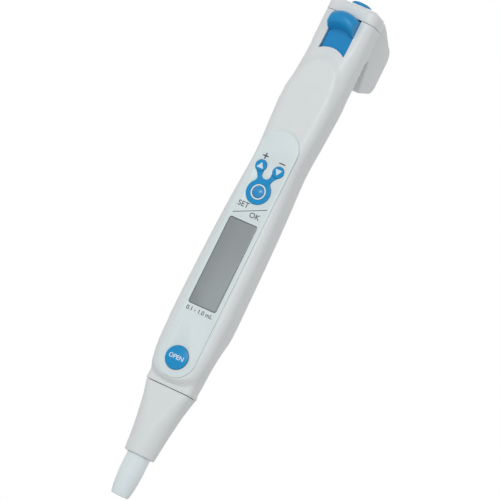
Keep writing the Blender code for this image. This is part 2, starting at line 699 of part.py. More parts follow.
def case_screws():
    """Three screws that go in from behind, through the rear cover into the front casing's pillars."""
    seat = PARTING_Y + GAP + 0.0015 + SLIDE_GAP
    head = 0.0012
    tip = 0.0058
    recess = 0.0006
    narrow = 0.0003
    wide = 0.0013
    profile = [
        (0.0, 0.0), (CASE_SCREW_HEAD * 0.75, 0.0), (CASE_SCREW_HEAD, -head * 0.4), (CASE_SCREW_HEAD, -head),
        (CASE_SCREW_RADIUS, -head), (CASE_SCREW_RADIUS, -head - tip), (0.0, -head - tip - CASE_SCREW_RADIUS * 0.6),
    ]
    for index, (x, z) in enumerate(screw_places(), 1):
        name = "case_screw_%d" % index
        facing = (-math.pi / 2, 0.0, 0.0)
        screw = turned_piece(name, profile, STEEL, (x, seat + head, z), SMALL_STEPS, False, facing)
        floor = seat + head - recess
        slot = box_mesh(name + "_slot", (x - narrow, floor, z - wide), (x + narrow, REAR, z + wide))
        cut(screw, add_cutter(name + "_slot", slot))
        cross = box_mesh(name + "_cross", (x - wide, floor, z - narrow), (x + wide, REAR, z + narrow))
        cut(screw, add_cutter(name + "_cross", cross))


def row_at(height):
    """The casing's form at a height above the nozzle end."""
    rows = casing_rows()
    for lower, upper in zip(rows, rows[1:]):
        if lower[0] <= height <= upper[0]:
            share = (height - lower[0]) / (upper[0] - lower[0])
            return tuple(a + (b - a) * share for a, b in zip(lower, upper))
    return (height, *rows[-1][1:])


def plate_in_casing(name, low, high, finish, rows=None):
    """A plate that fills the casing's hollow between two heights, with a fitting gap all round."""
    rows = rows or [row_at(low), row_at(high)]
    rings = [section(row, WALL + 2 * GAP, 4) for row in rows]
    return add_piece(name, loft_mesh(name, rings), finish)


def cut_round_hole(piece, name, radius, x, y, low, high):
    hole = cylinder_mesh(name, radius, (x, y, low), (x, y, high), ROUND_STEPS)
    cut(piece, add_cutter(name, hole))


def lower_guide():
    """The plate in the casing's lower mouth that centres the cylinder and guides the ejector rod."""
    low = BODY_BOTTOM + 0.0005
    high = low + 0.0020
    plate = plate_in_casing("lower_guide", low, high, WHITE_PLASTIC, lower_rows(low, high))
    cut_round_hole(plate, "guide_bore", CYLINDER_RADIUS + GAP, 0.0, 0.0, low - 0.001, high + 0.001)
    cut_round_hole(plate, "guide_rod_hole", ROD_RADIUS + GAP, ROD_X, ROD_Y, low - 0.001, high + 0.001)


def nozzle():
    """The nozzle that takes a disposable tip: a tapered tube with a socket for the cylinder on top."""
    top = NOZZLE_SHOWN + 0.0070
    socket = NOZZLE_SHOWN + 0.0013
    outer = [
        (NOZZLE_RADIUS, top), (NOZZLE_RADIUS, NOZZLE_SHOWN * 0.57), (NOZZLE_RADIUS - 0.00015, NOZZLE_SHOWN * 0.43),
        (NOZZLE_RADIUS - 0.00035, NOZZLE_SHOWN * 0.30), (NOZZLE_RADIUS - 0.00065, NOZZLE_SHOWN * 0.16),
        (NOZZLE_END_RADIUS + 0.0001, 0.0006), (NOZZLE_END_RADIUS - 0.0002, 0.0),
    ]
    inner = [
        (FILTER_RADIUS + 0.0002, 0.0), (FILTER_RADIUS + 0.0002, FILTER_LENGTH + 0.0010),
        (NOZZLE_BORE, FILTER_LENGTH + 0.0014), (NOZZLE_BORE, socket - 0.0010), (CYLINDER_BORE, socket),
        (CYLINDER_RADIUS + 0.0002, socket), (CYLINDER_RADIUS + 0.0002, top),
    ]
    turned_piece("nozzle", outer + inner, NOZZLE_WHITE)
    pad = [
        (0.0, FILTER_LENGTH), (FILTER_RADIUS - 0.0002, FILTER_LENGTH), (FILTER_RADIUS, FILTER_LENGTH - 0.0002),
        (FILTER_RADIUS, 0.0002), (FILTER_RADIUS - 0.0002, 0.0), (0.0, 0.0),
    ]
    turned_piece("nozzle_filter", pad, FILTER_WHITE, (0.0, 0.0, 0.0008), SMALL_STEPS, False)
    spigot = COLLAR_GROOVE
    minor = (CYLINDER_RADIUS + 0.0002 - spigot) / 2 - 0.00008
    major = (CYLINDER_RADIUS + 0.0002 + spigot) / 2
    ring = arc((major, 0.0), minor, 0, -330, 11)
    turned_piece("nozzle_seal", ring, BLACK_RUBBER, (0.0, 0.0, CYLINDER_BOTTOM + 0.0009), 24)


def cylinder():
    """The measuring cylinder: its spigot sits in the nozzle and its groove is held by the latch ring."""
    spigot_top = CYLINDER_BOTTOM + 0.0017
    groove = RELEASE_Z
    profile = [
        (CYLINDER_RADIUS, CYLINDER_TOP), (CYLINDER_RADIUS, groove + GROOVE_HALF), (COLLAR_GROOVE, groove + GROOVE_HALF),
        (COLLAR_GROOVE, groove - GROOVE_HALF), (CYLINDER_RADIUS, groove - GROOVE_HALF), (CYLINDER_RADIUS, spigot_top),
        (COLLAR_GROOVE, spigot_top), (COLLAR_GROOVE, CYLINDER_BOTTOM), (CYLINDER_BORE, CYLINDER_BOTTOM),
        (CYLINDER_BORE, SEAL_Z), (CYLINDER_BORE + 0.0008, SEAL_Z), (CYLINDER_BORE + 0.0008, CYLINDER_TOP),
    ]
    turned_piece("cylinder", profile, WHITE_PLASTIC)
    inner = PISTON_RADIUS + SLIDE_GAP
    outer = CYLINDER_BORE + 0.0008 - SLIDE_GAP
    lip = 0.0003
    seal = [
        (outer, SEAL_HEIGHT), (outer, lip), (outer - lip, 0.0), (inner + lip / 2, 0.0), (inner, lip),
        (inner, SEAL_HEIGHT),
    ]
    turned_piece("piston_seal", seal, BLACK_RUBBER, (0.0, 0.0, SEAL_Z + SLIDE_GAP))
    high = RETAINER_HEIGHT
    retainer = [(CYLINDER_RADIUS, high), (CYLINDER_RADIUS, 0.0), (CYLINDER_BORE, 0.0), (CYLINDER_BORE, high)]
    turned_piece("seal_retainer", retainer, WHITE_PLASTIC, (0.0, 0.0, CYLINDER_TOP + GAP))


def ejector_sleeve():
    """The lower cone: round at its foot, a rounded square where it meets the casing."""
    rings = [sleeve_section(row, 0.0, CORNER_STEPS) for row in smooth_rows(SLEEVE_ROWS, 2)]
    sleeve = add_piece("eject_sleeve", loft_mesh("eject_sleeve", rings), BODY_GREY)
    outside = add_cutter("sleeve_outside", loft_mesh("sleeve_outside", rings))
    inner = [sleeve_section(row, SLEEVE_WALL, CORNER_STEPS) for row in smooth_rows(SLEEVE_ROWS, 1)]
    lift = Vector((0.0, 0.0, 0.001))
    inner = [[point - lift for point in inner[0]], *inner, [point + lift for point in inner[-1]]]
    cut(sleeve, add_cutter("sleeve_hollow", loft_mesh("sleeve_hollow", inner)))
    boss = cylinder_mesh(
        "rod_boss", ROD_RADIUS + 0.0010, (ROD_X, ROD_Y, SLEEVE_TOP - 0.0090), (ROD_X, ROD_Y, SLEEVE_TOP - 0.0006)
    )
    boss = add_cutter("rod_boss", boss)
    keep_inside(boss, outside)
    join(sleeve, boss)
    cut_round_hole(sleeve, "rod_socket", ROD_RADIUS + SLIDE_GAP, ROD_X, ROD_Y, ROD_BOTTOM - GAP, SLEEVE_TOP + 0.001)


def sleeve_section(row, offset, steps):
    """One section of the sleeve; the row's first number is a share of the sleeve's length."""
    return section((SLEEVE_BOTTOM + row[0] * SLEEVE_LENGTH, *row[1:]), offset, steps)


def eject_rod():
    """The steel rod between the lever and the sleeve."""
    rod = cylinder_mesh("eject_rod", ROD_RADIUS, (0.0, 0.0, 0.0), (0.0, 0.0, ROD_TOP - ROD_BOTTOM))
    add_piece("eject_rod", rod, STEEL, (ROD_X, ROD_Y, ROD_BOTTOM))


def lever_ring(x, half):
    """One slice of the lever: the skirt's straight back and front, the shelf, and the lobe arched over its width."""
    back = SKIRT_THICKNESS - SKIRT_FRONT
    bottom = SILL_Z - 0.0036
    shelf = LEVER_Z + LEVER_LOBE_RADIUS
    lift = LEVER_ARCH * (2 / 3 - (x / half) ** 2)
    centre = (LEVER_LOBE_RADIUS - LEVER_REACH, LEVER_Z + lift)
    start = math.degrees(math.acos((-SHELF_FRONT - centre[0]) / LEVER_LOBE_RADIUS))
    under = centre[1] - LEVER_LOBE_RADIUS
    profile = [(back, bottom), (back, shelf), (-SHELF_FRONT, shelf)]
    profile += arc(centre, LEVER_LOBE_RADIUS, start, 300, 14)
    profile += [(-SKIRT_FRONT - 0.0008, under + 0.0003), (-SKIRT_FRONT, under - 0.0012), (-SKIRT_FRONT, bottom)]
    sag = LEVER_CURVE - math.sqrt(LEVER_CURVE**2 - x * x)
    ring = []
    for y, z in profile:
        share = max(0.0, (-y - SKIRT_FRONT) / (LEVER_REACH - SKIRT_FRONT))
        ring.append(Vector((x, y + sag * share, z)))
    return ring


def eject_lever():
    """The thumb lever: a round lobe and a skirt that fills the slot, with an arm inside to the rod."""
    half = SLOT_HALF_WIDTH - GAP
    back = SKIRT_THICKNESS - SKIRT_FRONT
    rings = [lever_ring(half * (step / 4 - 1), half) for step in range(9)]
    lever = add_piece("eject_lever", loft_mesh("eject_lever", rings), KEY_BLUE)
    turn_x = ROD_X - ROD_RADIUS - 0.0010
    arm_top = ARM_Z + ARM_THICKNESS
    arm = box_mesh("lever_arm", (-0.0040, back - 0.0004, ARM_Z), (turn_x, back + 0.0032, arm_top))
    join(lever, add_cutter("lever_arm", arm))
    low = (turn_x - 0.0006, back + 0.0004, ARM_Z + 0.0001)
    high = (ROD_X + ROD_RADIUS + 0.0008, ROD_Y + ROD_RADIUS + 0.0009, arm_top - 0.0001)
    join(lever, add_cutter("lever_reach", box_mesh("lever_reach", low, high)))
    cut_round_hole(lever, "lever_rod_hole", ROD_RADIUS + SLIDE_GAP, ROD_X, ROD_Y, ARM_Z - 0.001, arm_top + 0.002)


def coil(name, centre, radius, wire, low, high, turns):
    """A helical compression spring with its ends at two heights."""
    curve = bpy.data.curves.new(name, "CURVE")
    curve.dimensions = "3D"
    curve.bevel_depth = wire
    curve.bevel_resolution = 1
    curve.use_fill_caps = True
    spline = curve.splines.new("POLY")
    per_turn = 10
    count = turns * per_turn + 1
    spline.points.add(count - 1)
    rise = high - low - 2 * wire
    for index in range(count):
        angle = math.tau * index / per_turn
        height = wire + rise * index / (count - 1)
        spline.points[index].co = (radius * math.cos(angle), radius * math.sin(angle), height, 1.0)
    return add_piece(name, curve, SPRING_STEEL, (*centre, low))


def springs():
    """The return springs of the ejector and of the operating button."""
    wire = 0.00028
    low = BRACKET_Z + BRACKET_THICKNESS + GAP
    coil("eject_spring", (ROD_X, ROD_Y), ROD_RADIUS + GAP + wire, wire, low, ARM_Z - GAP, 7)
    low = BUTTON_BOARD_Z + BOARD_THICKNESS + GAP
    high = CEILING_Z - GAP - FLANGE_THICKNESS - GAP
    coil("button_spring", (0.0, BUTTON_Y), BUTTON_SPRING_RADIUS, wire, low, high, 4)


def drive():
    """Stepper motor, its bracket, the lead screw, the nut on its guide rod, the push tube and the piston."""
    bore = SCREW_RADIUS + GAP
    edge = 0.0004
    can = [
        (bore, MOTOR_LENGTH), (MOTOR_RADIUS - edge, MOTOR_LENGTH), (MOTOR_RADIUS, MOTOR_LENGTH - edge),
        (MOTOR_RADIUS, edge), (MOTOR_RADIUS - edge, 0.0), (bore, 0.0),
    ]
    turned_piece("drive_motor", can, STEEL, (0.0, 0.0, MOTOR_BOTTOM))
    top = BRACKET_Z + BRACKET_THICKNESS
    bracket = plate_in_casing("motor_bracket", BRACKET_Z, top, STEEL)
    cut_round_hole(bracket, "bracket_bore", SCREW_RADIUS + GAP, 0.0, 0.0, BRACKET_Z - 0.001, top + 0.001)
    cut_round_hole(bracket, "bracket_rod_hole", ROD_RADIUS + SLIDE_GAP, ROD_X, ROD_Y, BRACKET_Z - 0.001, top + 0.001)
    length = top + 0.0006 - SCREW_BOTTOM
    collar = MOTOR_BOTTOM - GAP - SCREW_BOTTOM
    thread = [
        (0.0, length), (SCREW_RADIUS, length), (SCREW_RADIUS, collar), (SCREW_RADIUS + 0.0010, collar),
        (SCREW_RADIUS + 0.0010, collar - 0.0008), (SCREW_RADIUS, collar - 0.0008), (SCREW_RADIUS, 0.0004),
        (SCREW_RADIUS - 0.0004, 0.0), (0.0, 0.0),
    ]
    turned_piece("lead_screw", thread, STEEL, (0.0, 0.0, SCREW_BOTTOM), SMALL_STEPS, False)
    inner = SCREW_RADIUS + 0.0002
    body = [(NUT_RADIUS, NUT_HEIGHT), (NUT_RADIUS, 0.0), (inner, 0.0), (inner, NUT_HEIGHT)]
    nut = turned_piece("drive_nut", body, WHITE_PLASTIC, (0.0, 0.0, NUT_BOTTOM))
    lug = box_mesh(
        "nut_lug",
        (NUT_RADIUS - 0.0006, GUIDE_Y - 0.0013, NUT_BOTTOM + 0.0015),
        (GUIDE_X + GUIDE_ROD_RADIUS + 0.0008, GUIDE_Y + 0.0013, NUT_BOTTOM + NUT_HEIGHT - 0.0015),
    )
    join(nut, add_cutter("nut_lug", lug))
    cut_round_hole(nut, "nut_guide_hole", GUIDE_ROD_RADIUS + SLIDE_GAP, GUIDE_X, GUIDE_Y, NUT_BOTTOM, MOTOR_BOTTOM)
    rail_bottom = NUT_BOTTOM - GUIDE_ROD_OVERHANG
    rail_length = MOTOR_BOTTOM - GAP - rail_bottom
    rail = cylinder_mesh("guide_rod", GUIDE_ROD_RADIUS, (0.0, 0.0, 0.0), (0.0, 0.0, rail_length), 12)
    add_piece("guide_rod", rail, STEEL, (GUIDE_X, GUIDE_Y, rail_bottom))
    reach = NUT_BOTTOM - GAP - PISTON_TOP - GAP
    tube_bore = SCREW_RADIUS + 0.0004
    tube = [(TUBE_RADIUS, reach), (TUBE_RADIUS, 0.0), (tube_bore, 0.0), (tube_bore, reach)]
    turned_piece("push_tube", tube, STEEL, (0.0, 0.0, PISTON_TOP + GAP), 24)
    chamfer = 0.0005
    rod = [
        (0.0, PISTON_LENGTH), (PISTON_RADIUS - chamfer, PISTON_LENGTH), (PISTON_RADIUS, PISTON_LENGTH - chamfer),
        (PISTON_RADIUS, chamfer), (PISTON_RADIUS - chamfer, 0.0), (0.0, 0.0),
    ]
    turned_piece("piston", rod, STEEL, (0.0, 0.0, PISTON_BOTTOM), ROUND_STEPS, False)


def rounded_outline(half, low, high, radius, grow):
    """Front view of an upright rectangle with round corners, as (x, z) points."""
    half += grow
    low -= grow
    high += grow
    points = []
    corners = (
        (half - radius, low + radius, -90), (half - radius, high - radius, 0),
        (radius - half, high - radius, 90), (radius - half, low + radius, 180),
    )
    for x, z, start in corners:
        points += arc((x, z), radius, start, start + 90, 4)
    return points


def front_panel():
    """The raised panel on the front, with openings for the display, the keys and the release button."""
    mesh = outline_mesh("front_panel", panel_outline(0.0), PANEL_FRONT, PANEL_BACK)
    panel = add_piece("front_panel", mesh, PANEL_GREY)
    round_edges(panel, 0.0003, 2, 1.0)
    outline = rounded_outline(DISPLAY_HALF, DISPLAY_BOTTOM, DISPLAY_TOP, 0.0010, 0.0)
    opening = outline_mesh("panel_window", outline, FACE + 0.002, FACE - 0.002)
    cut(panel, add_cutter("panel_window", opening))
    pocket = add_bezel_form("bezel_pocket", SLIDE_GAP, PANEL_FRONT + 0.001, BEZEL_FLOOR)
    cut(panel, pocket)
    for name, (x, z), radius in key_places():
        wide = {"key_mode": KEY_STEM_RADIUS + GAP, "release_button": RELEASE_RADIUS + SLIDE_GAP}
        radius = wide.get(name, ARROW_KEY_RADIUS + SLIDE_GAP)
        hole = cylinder_mesh(name + "_panel_hole", radius, (x, -FACE - 0.002, z), (x, -FACE + 0.002, z), ROUND_STEPS)
        cut(panel, add_cutter(name + "_panel_hole", hole))


def add_bezel_form(name, grow, front, back):
    """The key bezel's form: a disc round the mode key with two necks that reach the arrow keys."""
    disc = cylinder_mesh(name, BEZEL_RADIUS + grow, (0.0, -back, MODE_Z), (0.0, -front, MODE_Z), 40)
    disc = add_cutter(name, disc)
    for side in (-1, 1):
        join(disc, neck(name, side, grow, front, back))
    near = (0.0, -back + 0.001, NECK_GAP_Z)
    between = cylinder_mesh(name + "_between", NECK_GAP_RADIUS - grow, near, (0.0, -front - 0.001, NECK_GAP_Z), 24)
    cut(disc, add_cutter(name + "_between", between))
    return disc


def neck(name, side, grow, front, back):
    """One neck of the bezel, from the disc to an arrow key, with a pad round the key."""
    x = side * ARROW_KEY_SPACING / 2
    foot = side * (BEZEL_RADIUS * 0.46)
    outer_foot = side * (BEZEL_RADIUS * 0.80)
    foot_z = MODE_Z + BEZEL_RADIUS * 0.55
    pad = ARROW_KEY_RADIUS + 0.00005
    wide = NECK_HALF + grow
    points = [
        (foot - side * wide, foot_z), (outer_foot + side * grow, foot_z),
        (foot + side * (wide - 0.0002), foot_z + 0.0028), (x + side * (pad * 0.55 + grow), ARROW_Z - pad * 0.80),
        (x, ARROW_Z), (x - side * (pad * 0.80 + grow), ARROW_Z - pad * 0.45), (foot - side * wide, foot_z + 0.0030),
    ]
    if side < 0:
        points.reverse()
    full = outline_mesh("%s_neck_%d" % (name, side), points, front, back)
    return add_cutter("%s_neck_%d" % (name, side), full)


def keypad():
    """The blue bezel, its white ring, the three keys and the snap domes under them."""
    seed = cylinder_mesh("key_bezel", OUTSIDE, (0.0, -BEZEL_FLOOR - GAP, MODE_Z), (0.0, -BEZEL_FRONT, MODE_Z), 8)
    bezel = add_piece("key_bezel", seed, KEY_BLUE)
    keep_inside(bezel, add_bezel_form("bezel_form", 0.0, BEZEL_FRONT + 0.001, BEZEL_FLOOR - 0.001))
    near = (0.0, -FACE + 0.002, MODE_Z)
    hole = cylinder_mesh("bezel_hole", MODE_RING_RADIUS + SLIDE_GAP, near, (0.0, -OUTSIDE, MODE_Z), 32)
    cut(bezel, add_cutter("bezel_hole", hole))
    for name, (x, z), radius in key_places()[:2]:
        hole = cylinder_mesh(name + "_pad", ARROW_KEY_RADIUS + SLIDE_GAP, (x, -FACE + 0.002, z), (x, -OUTSIDE, z), 32)
        cut(bezel, add_cutter(name + "_pad", hole))
    facing = (math.pi / 2, 0.0, 0.0)
    ring_low = BEZEL_FLOOR + GAP
    ring = [
        (MODE_RING_RADIUS, BEZEL_FRONT - ring_low), (MODE_RING_RADIUS, 0.0),
        (MODE_KEY_RADIUS + SLIDE_GAP, 0.0), (MODE_KEY_RADIUS + SLIDE_GAP, BEZEL_FRONT - ring_low),
    ]
    turned_piece("mode_ring", ring, WHITE_PLASTIC, (0.0, -ring_low, MODE_Z), ROUND_STEPS, True, facing)
    stem_end = BOARD_FRONT + GAP + DOME_HEIGHT + KEY_TRAVEL + 0.0001
    for name, (x, z), radius in key_places()[:2]:
        front = BEZEL_FRONT + 0.0001
        back = POCKET_FLOOR + KEY_TRAVEL + 0.0002
        profile = [
            (0.0, front), (ARROW_KEY_RADIUS - 0.0003, front), (ARROW_KEY_RADIUS, front - 0.0002),
            (ARROW_KEY_RADIUS, back), (KEY_STEM_RADIUS, back), (KEY_STEM_RADIUS, stem_end), (0.0, stem_end),
        ]
        profile = [(r, height - back) for r, height in profile]
        turned_piece(name, profile, KEY_BLUE, (x, -back, z), ROUND_STEPS, False, facing)
    back = BEZEL_FLOOR + KEY_TRAVEL + 0.0002
    rim = BEZEL_FRONT + 0.0001
    shares = (0.0, 0.35, 0.65, 0.88, 1.0)
    crown = [(MODE_KEY_RADIUS * share, rim + MODE_KEY_CROWN * (1 - share * share)) for share in shares]
    profile = crown + [(MODE_KEY_RADIUS, back), (KEY_STEM_RADIUS, back), (KEY_STEM_RADIUS, stem_end), (0.0, stem_end)]
    profile = [(r, height - back) for r, height in profile]
    turned_piece("key_mode", profile, KEY_BLUE, (0.0, -back, MODE_Z), ROUND_STEPS, False, facing)
    for name, (x, z), radius in key_places()[:3]:
        profile = [(0.0, DOME_HEIGHT), (0.0010, DOME_HEIGHT), (0.0017, 0.0002), (0.0017, 0.0), (0.0, 0.0)]
        place = (x, -BOARD_FRONT - GAP, z)
        turned_piece(name.replace("key", "dome"), profile, STEEL, place, SMALL_STEPS, False, facing)


def release():
    """The release button, the latch ring that it pushes out of the cylinder's groove, and the wave spring."""
    facing = (math.pi / 2, 0.0, 0.0)
    back = POCKET_FLOOR + SLIDE_GAP + RELEASE_SPRING_THICKNESS + RELEASE_TRAVEL + 0.0001
    rim = PANEL_FRONT + 0.0005
    stem = RELEASE_RADIUS / 2
    ring_front = LATCH_CENTRE + LATCH_RADIUS + 0.0006
    shares = (0.0, 0.3, 0.6, 0.85, 0.97)
    crown = [(RELEASE_RADIUS * share, rim + RELEASE_CROWN * (1 - share * share)) for share in shares]
    profile = crown + [
        (RELEASE_RADIUS, rim - 0.0003), (RELEASE_RADIUS, back), (stem, back),
        (stem, ring_front + GAP), (0.0, ring_front + GAP),
    ]
    profile = [(r, height - back) for r, height in profile]
    turned_piece("release_button", profile, KEY_BLUE, (0.0, -back, RELEASE_Z), 40, False, facing)
    half = GROOVE_HALF - SLIDE_GAP
    inner = LATCH_RADIUS - LATCH_WALL
    ring = [(LATCH_RADIUS, half), (LATCH_RADIUS, -half), (inner, -half), (inner, half)]
    latch = turned_piece("latch_ring", ring, STEEL, (0.0, -LATCH_CENTRE, RELEASE_Z))
    tab_back = LATCH_WALL / 2 - LATCH_CENTRE - LATCH_RADIUS
    tab = box_mesh("latch_tab", (-0.0020, -ring_front, RELEASE_Z - half), (0.0020, tab_back, RELEASE_Z + half))
    join(latch, add_cutter("latch_tab", tab))
    thick = RELEASE_SPRING_THICKNESS
    wave = [(stem + 0.0016, thick), (stem + 0.0016, 0.0), (stem + 0.0005, 0.0), (stem + 0.0005, thick)]
    place = (0.0, -POCKET_FLOOR - SLIDE_GAP, RELEASE_Z)
    turned_piece("release_spring", wave, SPRING_STEEL, place, ROUND_STEPS, True, facing)


def electronics():
    """Display window and module, main board, battery with its plug, home sensor and the button's board."""
    window = outline_mesh(
        "display_window",
        rounded_outline(DISPLAY_HALF, DISPLAY_BOTTOM, DISPLAY_TOP, 0.0010, -SLIDE_GAP),
        PANEL_FRONT - 0.0001,
        PANEL_BACK,
    )
    add_piece("display_window", window, DISPLAY_GREY)
    inset = 0.0009
    module = box_mesh(
        "display_module",
        (inset - DISPLAY_HALF, -PANEL_BACK + GAP, DISPLAY_BOTTOM + inset),
        (DISPLAY_HALF - inset, -BOARD_FRONT - GAP, DISPLAY_TOP - inset),
    )
    add_piece("display_module", module, BLACK_PLASTIC)
    half = WAIST_HALF_WIDTH - WALL - GAP - 0.0002
    board_back = -BOARD_FRONT + BOARD_THICKNESS
    board = box_mesh("main_board", (-half, -BOARD_FRONT, BOARD_BOTTOM), (half, board_back, ARROW_Z + 0.0080))
    board = add_piece("main_board", board, BOARD_GREEN)
    for index, (x, z) in enumerate(screw_places()[:2], 1):
        name = "board_hole_%d" % index
        hole = cylinder_mesh(name, PILLAR_RADIUS + GAP, (x, -BOARD_FRONT - 0.001, z), (x, board_back + 0.001, z))
        cut(board, add_cutter(name, hole))
    rear = REAR - 0.0003 - WALL - 2 * GAP
    low = (-BATTERY_HALF_WIDTH, rear - BATTERY_THICKNESS, DISPLAY_BOTTOM + 0.0040)
    high = (BATTERY_HALF_WIDTH, rear, DISPLAY_BOTTOM + 0.0040 + BATTERY_LENGTH)
    cell = add_piece("battery", box_mesh("battery", low, high), CELL_WRAP)
    round_edges(cell, 0.0009, 2)
    plug = box_mesh(
        "battery_plug",
        (0.0008 - half, board_back + GAP, BOARD_BOTTOM + 0.0026),
        (0.0042 - half, board_back + GAP + 0.0028, BOARD_BOTTOM + 0.0071),
    )
    add_piece("battery_plug", plug, WHITE_PLASTIC)
    sensor = box_mesh(
        "home_sensor",
        (0.0010 - half, board_back + GAP, NUT_BOTTOM + 0.0008),
        (-NUT_RADIUS - 0.0006, board_back + GAP + 0.0030, NUT_BOTTOM + 0.0048),
    )
    add_piece("home_sensor", sensor, BLACK_PLASTIC)
    low = (-POST_X - 0.0011, BUTTON_Y - 0.0032, BUTTON_BOARD_Z)
    high = (POST_X + 0.0011, POST_Y + 0.0012, BUTTON_BOARD_Z + BOARD_THICKNESS)
    base = add_piece("button_board", box_mesh("button_board", low, high), BOARD_GREEN)
    top = BUTTON_BOARD_Z + BOARD_THICKNESS
    half = 0.0014
    low = (-half, BUTTON_Y - half, top - 0.0002)
    switch = box_mesh("switch_body", low, (half, BUTTON_Y + half, top + SWITCH_HEIGHT - 0.0005))
    join(base, add_cutter("switch_body", switch))
    plunger = cylinder_mesh("switch_plunger", 0.0007, (0.0, BUTTON_Y, top), (0.0, BUTTON_Y, top + SWITCH_HEIGHT))
    join(base, add_cutter("switch_plunger", plunger))


def operating_button():
    """The blue button on top, kept in the cap by its flange."""
    flange_top = CEILING_Z - GAP
    flange_bottom = flange_top - FLANGE_THICKNESS
    tip = BUTTON_BOARD_Z + BOARD_THICKNESS + SWITCH_HEIGHT + BUTTON_TRAVEL + GAP
    top = CAP_TOP + BUTTON_PROUD
    crown = [(BUTTON_RADIUS * share, top - BUTTON_CROWN * share**3) for share in (0.0, 0.3, 0.55, 0.75, 0.9, 1.0)]
    flange = BUTTON_RADIUS + BUTTON_FLANGE_WIDTH
    stem = 0.0015
    profile = crown + [
        (BUTTON_RADIUS, flange_top), (flange, flange_top), (flange, flange_bottom),
        (stem, flange_bottom), (stem, tip), (0.0, tip),
    ]
    profile = [(r, z - tip) for r, z in profile]
    turned_piece("operation_button", profile, KEY_BLUE, (0.0, BUTTON_Y, tip), 40, False)


def hook_profile():
    """Side view of the finger hook as (y, z) points, from the cap's top round to the seat."""
    foot = CAP_BOTTOM - HOOK_DROP
    tip_y = HEAD_REAR + HOOK_MOUTH
    back = HOOK_BACK
    points = [(HEAD_REAR - 0.0030, CAP_TOP - 0.0004), (HEAD_REAR - 0.0002, CAP_TOP - 0.0009)]
    shoulder = back - HOOK_SHOULDER_RADIUS - 0.0002
    points += [(back - HOOK_SLOPE_START, CAP_TOP - 0.0026), (shoulder - 0.0002, CAP_TOP - 0.0068)]
    points += arc((shoulder, CAP_TOP - 0.0134), HOOK_SHOULDER_RADIUS, 66, 6, 5)
    points += arc((back - HOOK_FOOT_RADIUS, foot + 0.0071), HOOK_FOOT_RADIUS, 0, -80, 5)
    points += [(tip_y + 0.0014, foot), (tip_y + 0.0003, foot + 0.0004), (tip_y, foot + 0.0013)]
    points += [(HEAD_REAR + HOOK_SEAT_WIDTH, HOOK_ROOT_Z), (HOOK_ROOT_Y + 0.0003, HOOK_ROOT_Z)]
    points += [(HOOK_ROOT_Y + 0.0003, CAP_TOP - 0.0030)]
    return points


def top_cap():
    """The head's cap and the finger hook, moulded in one piece."""
    head = row_at(BODY_TOP)[1:]
    rings = [section((CAP_BOTTOM + CAP_HEIGHT * share, *head), inset, CORNER_STEPS) for share, inset in CAP_STEPS]
    cap = add_piece("top_cap", loft_mesh("top_cap", rings), BODY_GREY)
    root_low = (-OUTSIDE, HOOK_ROOT_Y, HOOK_ROOT_Z + 0.0002)
    root = add_cutter("hook_root", box_mesh("hook_root", root_low, (OUTSIDE, OUTSIDE, CAP_BOTTOM + 0.002)))
    keep_inside(root, CASING_AND_CAP)
    join(cap, root)
    rings = []
    for x, inset in HOOK_SLICES:
        rings.append([Vector((x, *point)) for point in inset_profile(hook_profile(), inset)])
    join(cap, add_cutter("finger_hook", loft_mesh("finger_hook", rings)))
    hollow = [
        section((CAP_BOTTOM - 0.002, *head), WALL, 4), section((CEILING_Z - 0.0012, *head), WALL, 4),
        section((CEILING_Z, *head), WALL + 0.0010, 4),
    ]
    trimmed = add_cutter("cap_hollow", loft_mesh("cap_hollow", hollow))
    front_only = box_mesh("cap_hollow_limit", (-OUTSIDE, -OUTSIDE, CAP_BOTTOM - 0.01), (OUTSIDE, HOOK_ROOT_Y, CAP_TOP))
    keep_inside(trimmed, add_cutter("cap_hollow_limit", front_only))
    cut(cap, trimmed)
    cut_round_hole(cap, "button_hole", BUTTON_RADIUS + GAP, 0.0, BUTTON_Y, CEILING_Z - 0.002, CAP_TOP + 0.002)
    for side in (-1, 1):
        name = "cap_post_left" if side < 0 else "cap_post_right"
        low = BUTTON_BOARD_Z + BOARD_THICKNESS + GAP
        post = cylinder_mesh(name, 0.0010, (side * POST_X, POST_Y, low), (side * POST_X, POST_Y, CEILING_Z + 0.0008))
        join(cap, add_cutter(name, post))


def inset_profile(points, inset):
    """The profile drawn in by the inset on its outer sides, towards its middle."""
    if inset == 0.0:
        return points
    middle_y = sum(y for y, z in points) / len(points)
    middle_z = sum(z for y, z in points) / len(points)
    result = []
    for y, z in points:
        away = math.hypot(y - middle_y, z - middle_z)
        share = 1 - inset / away
        moved = (middle_y + (y - middle_y) * share, middle_z + (z - middle_z) * share)
        result.append(moved if y > HEAD_REAR + 0.0005 else (y, z - inset * 0.5 if z > middle_z else z))
    return result


def casing_and_cap_form():
    """The casing's outer form carried on upwards a little, for what the cap takes over behind."""
    mesh = CASING_OUTSIDE.copy()
    for vertex in mesh.vertices:
        if vertex.co.z > BODY_TOP - 0.0001:
            vertex.co.z += 0.0025
    return add_cutter("casing_and_cap_form", mesh)


CASING_FORM = add_cutter("casing_form", CASING_OUTSIDE.copy())
CASING_AND_CAP = casing_and_cap_form()

front_shell()
rear_shell()
charge_contacts()
case_screws()
lower_guide()
nozzle()
cylinder()
ejector_sleeve()
eject_rod()
eject_lever()
springs()
drive()
front_panel()
keypad()
release()
electronics()
operating_button()
top_cap()
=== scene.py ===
"""Looks of the electronic pipette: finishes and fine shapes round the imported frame."""

import math

import bmesh
import bpy
from mathutils import Matrix, Vector


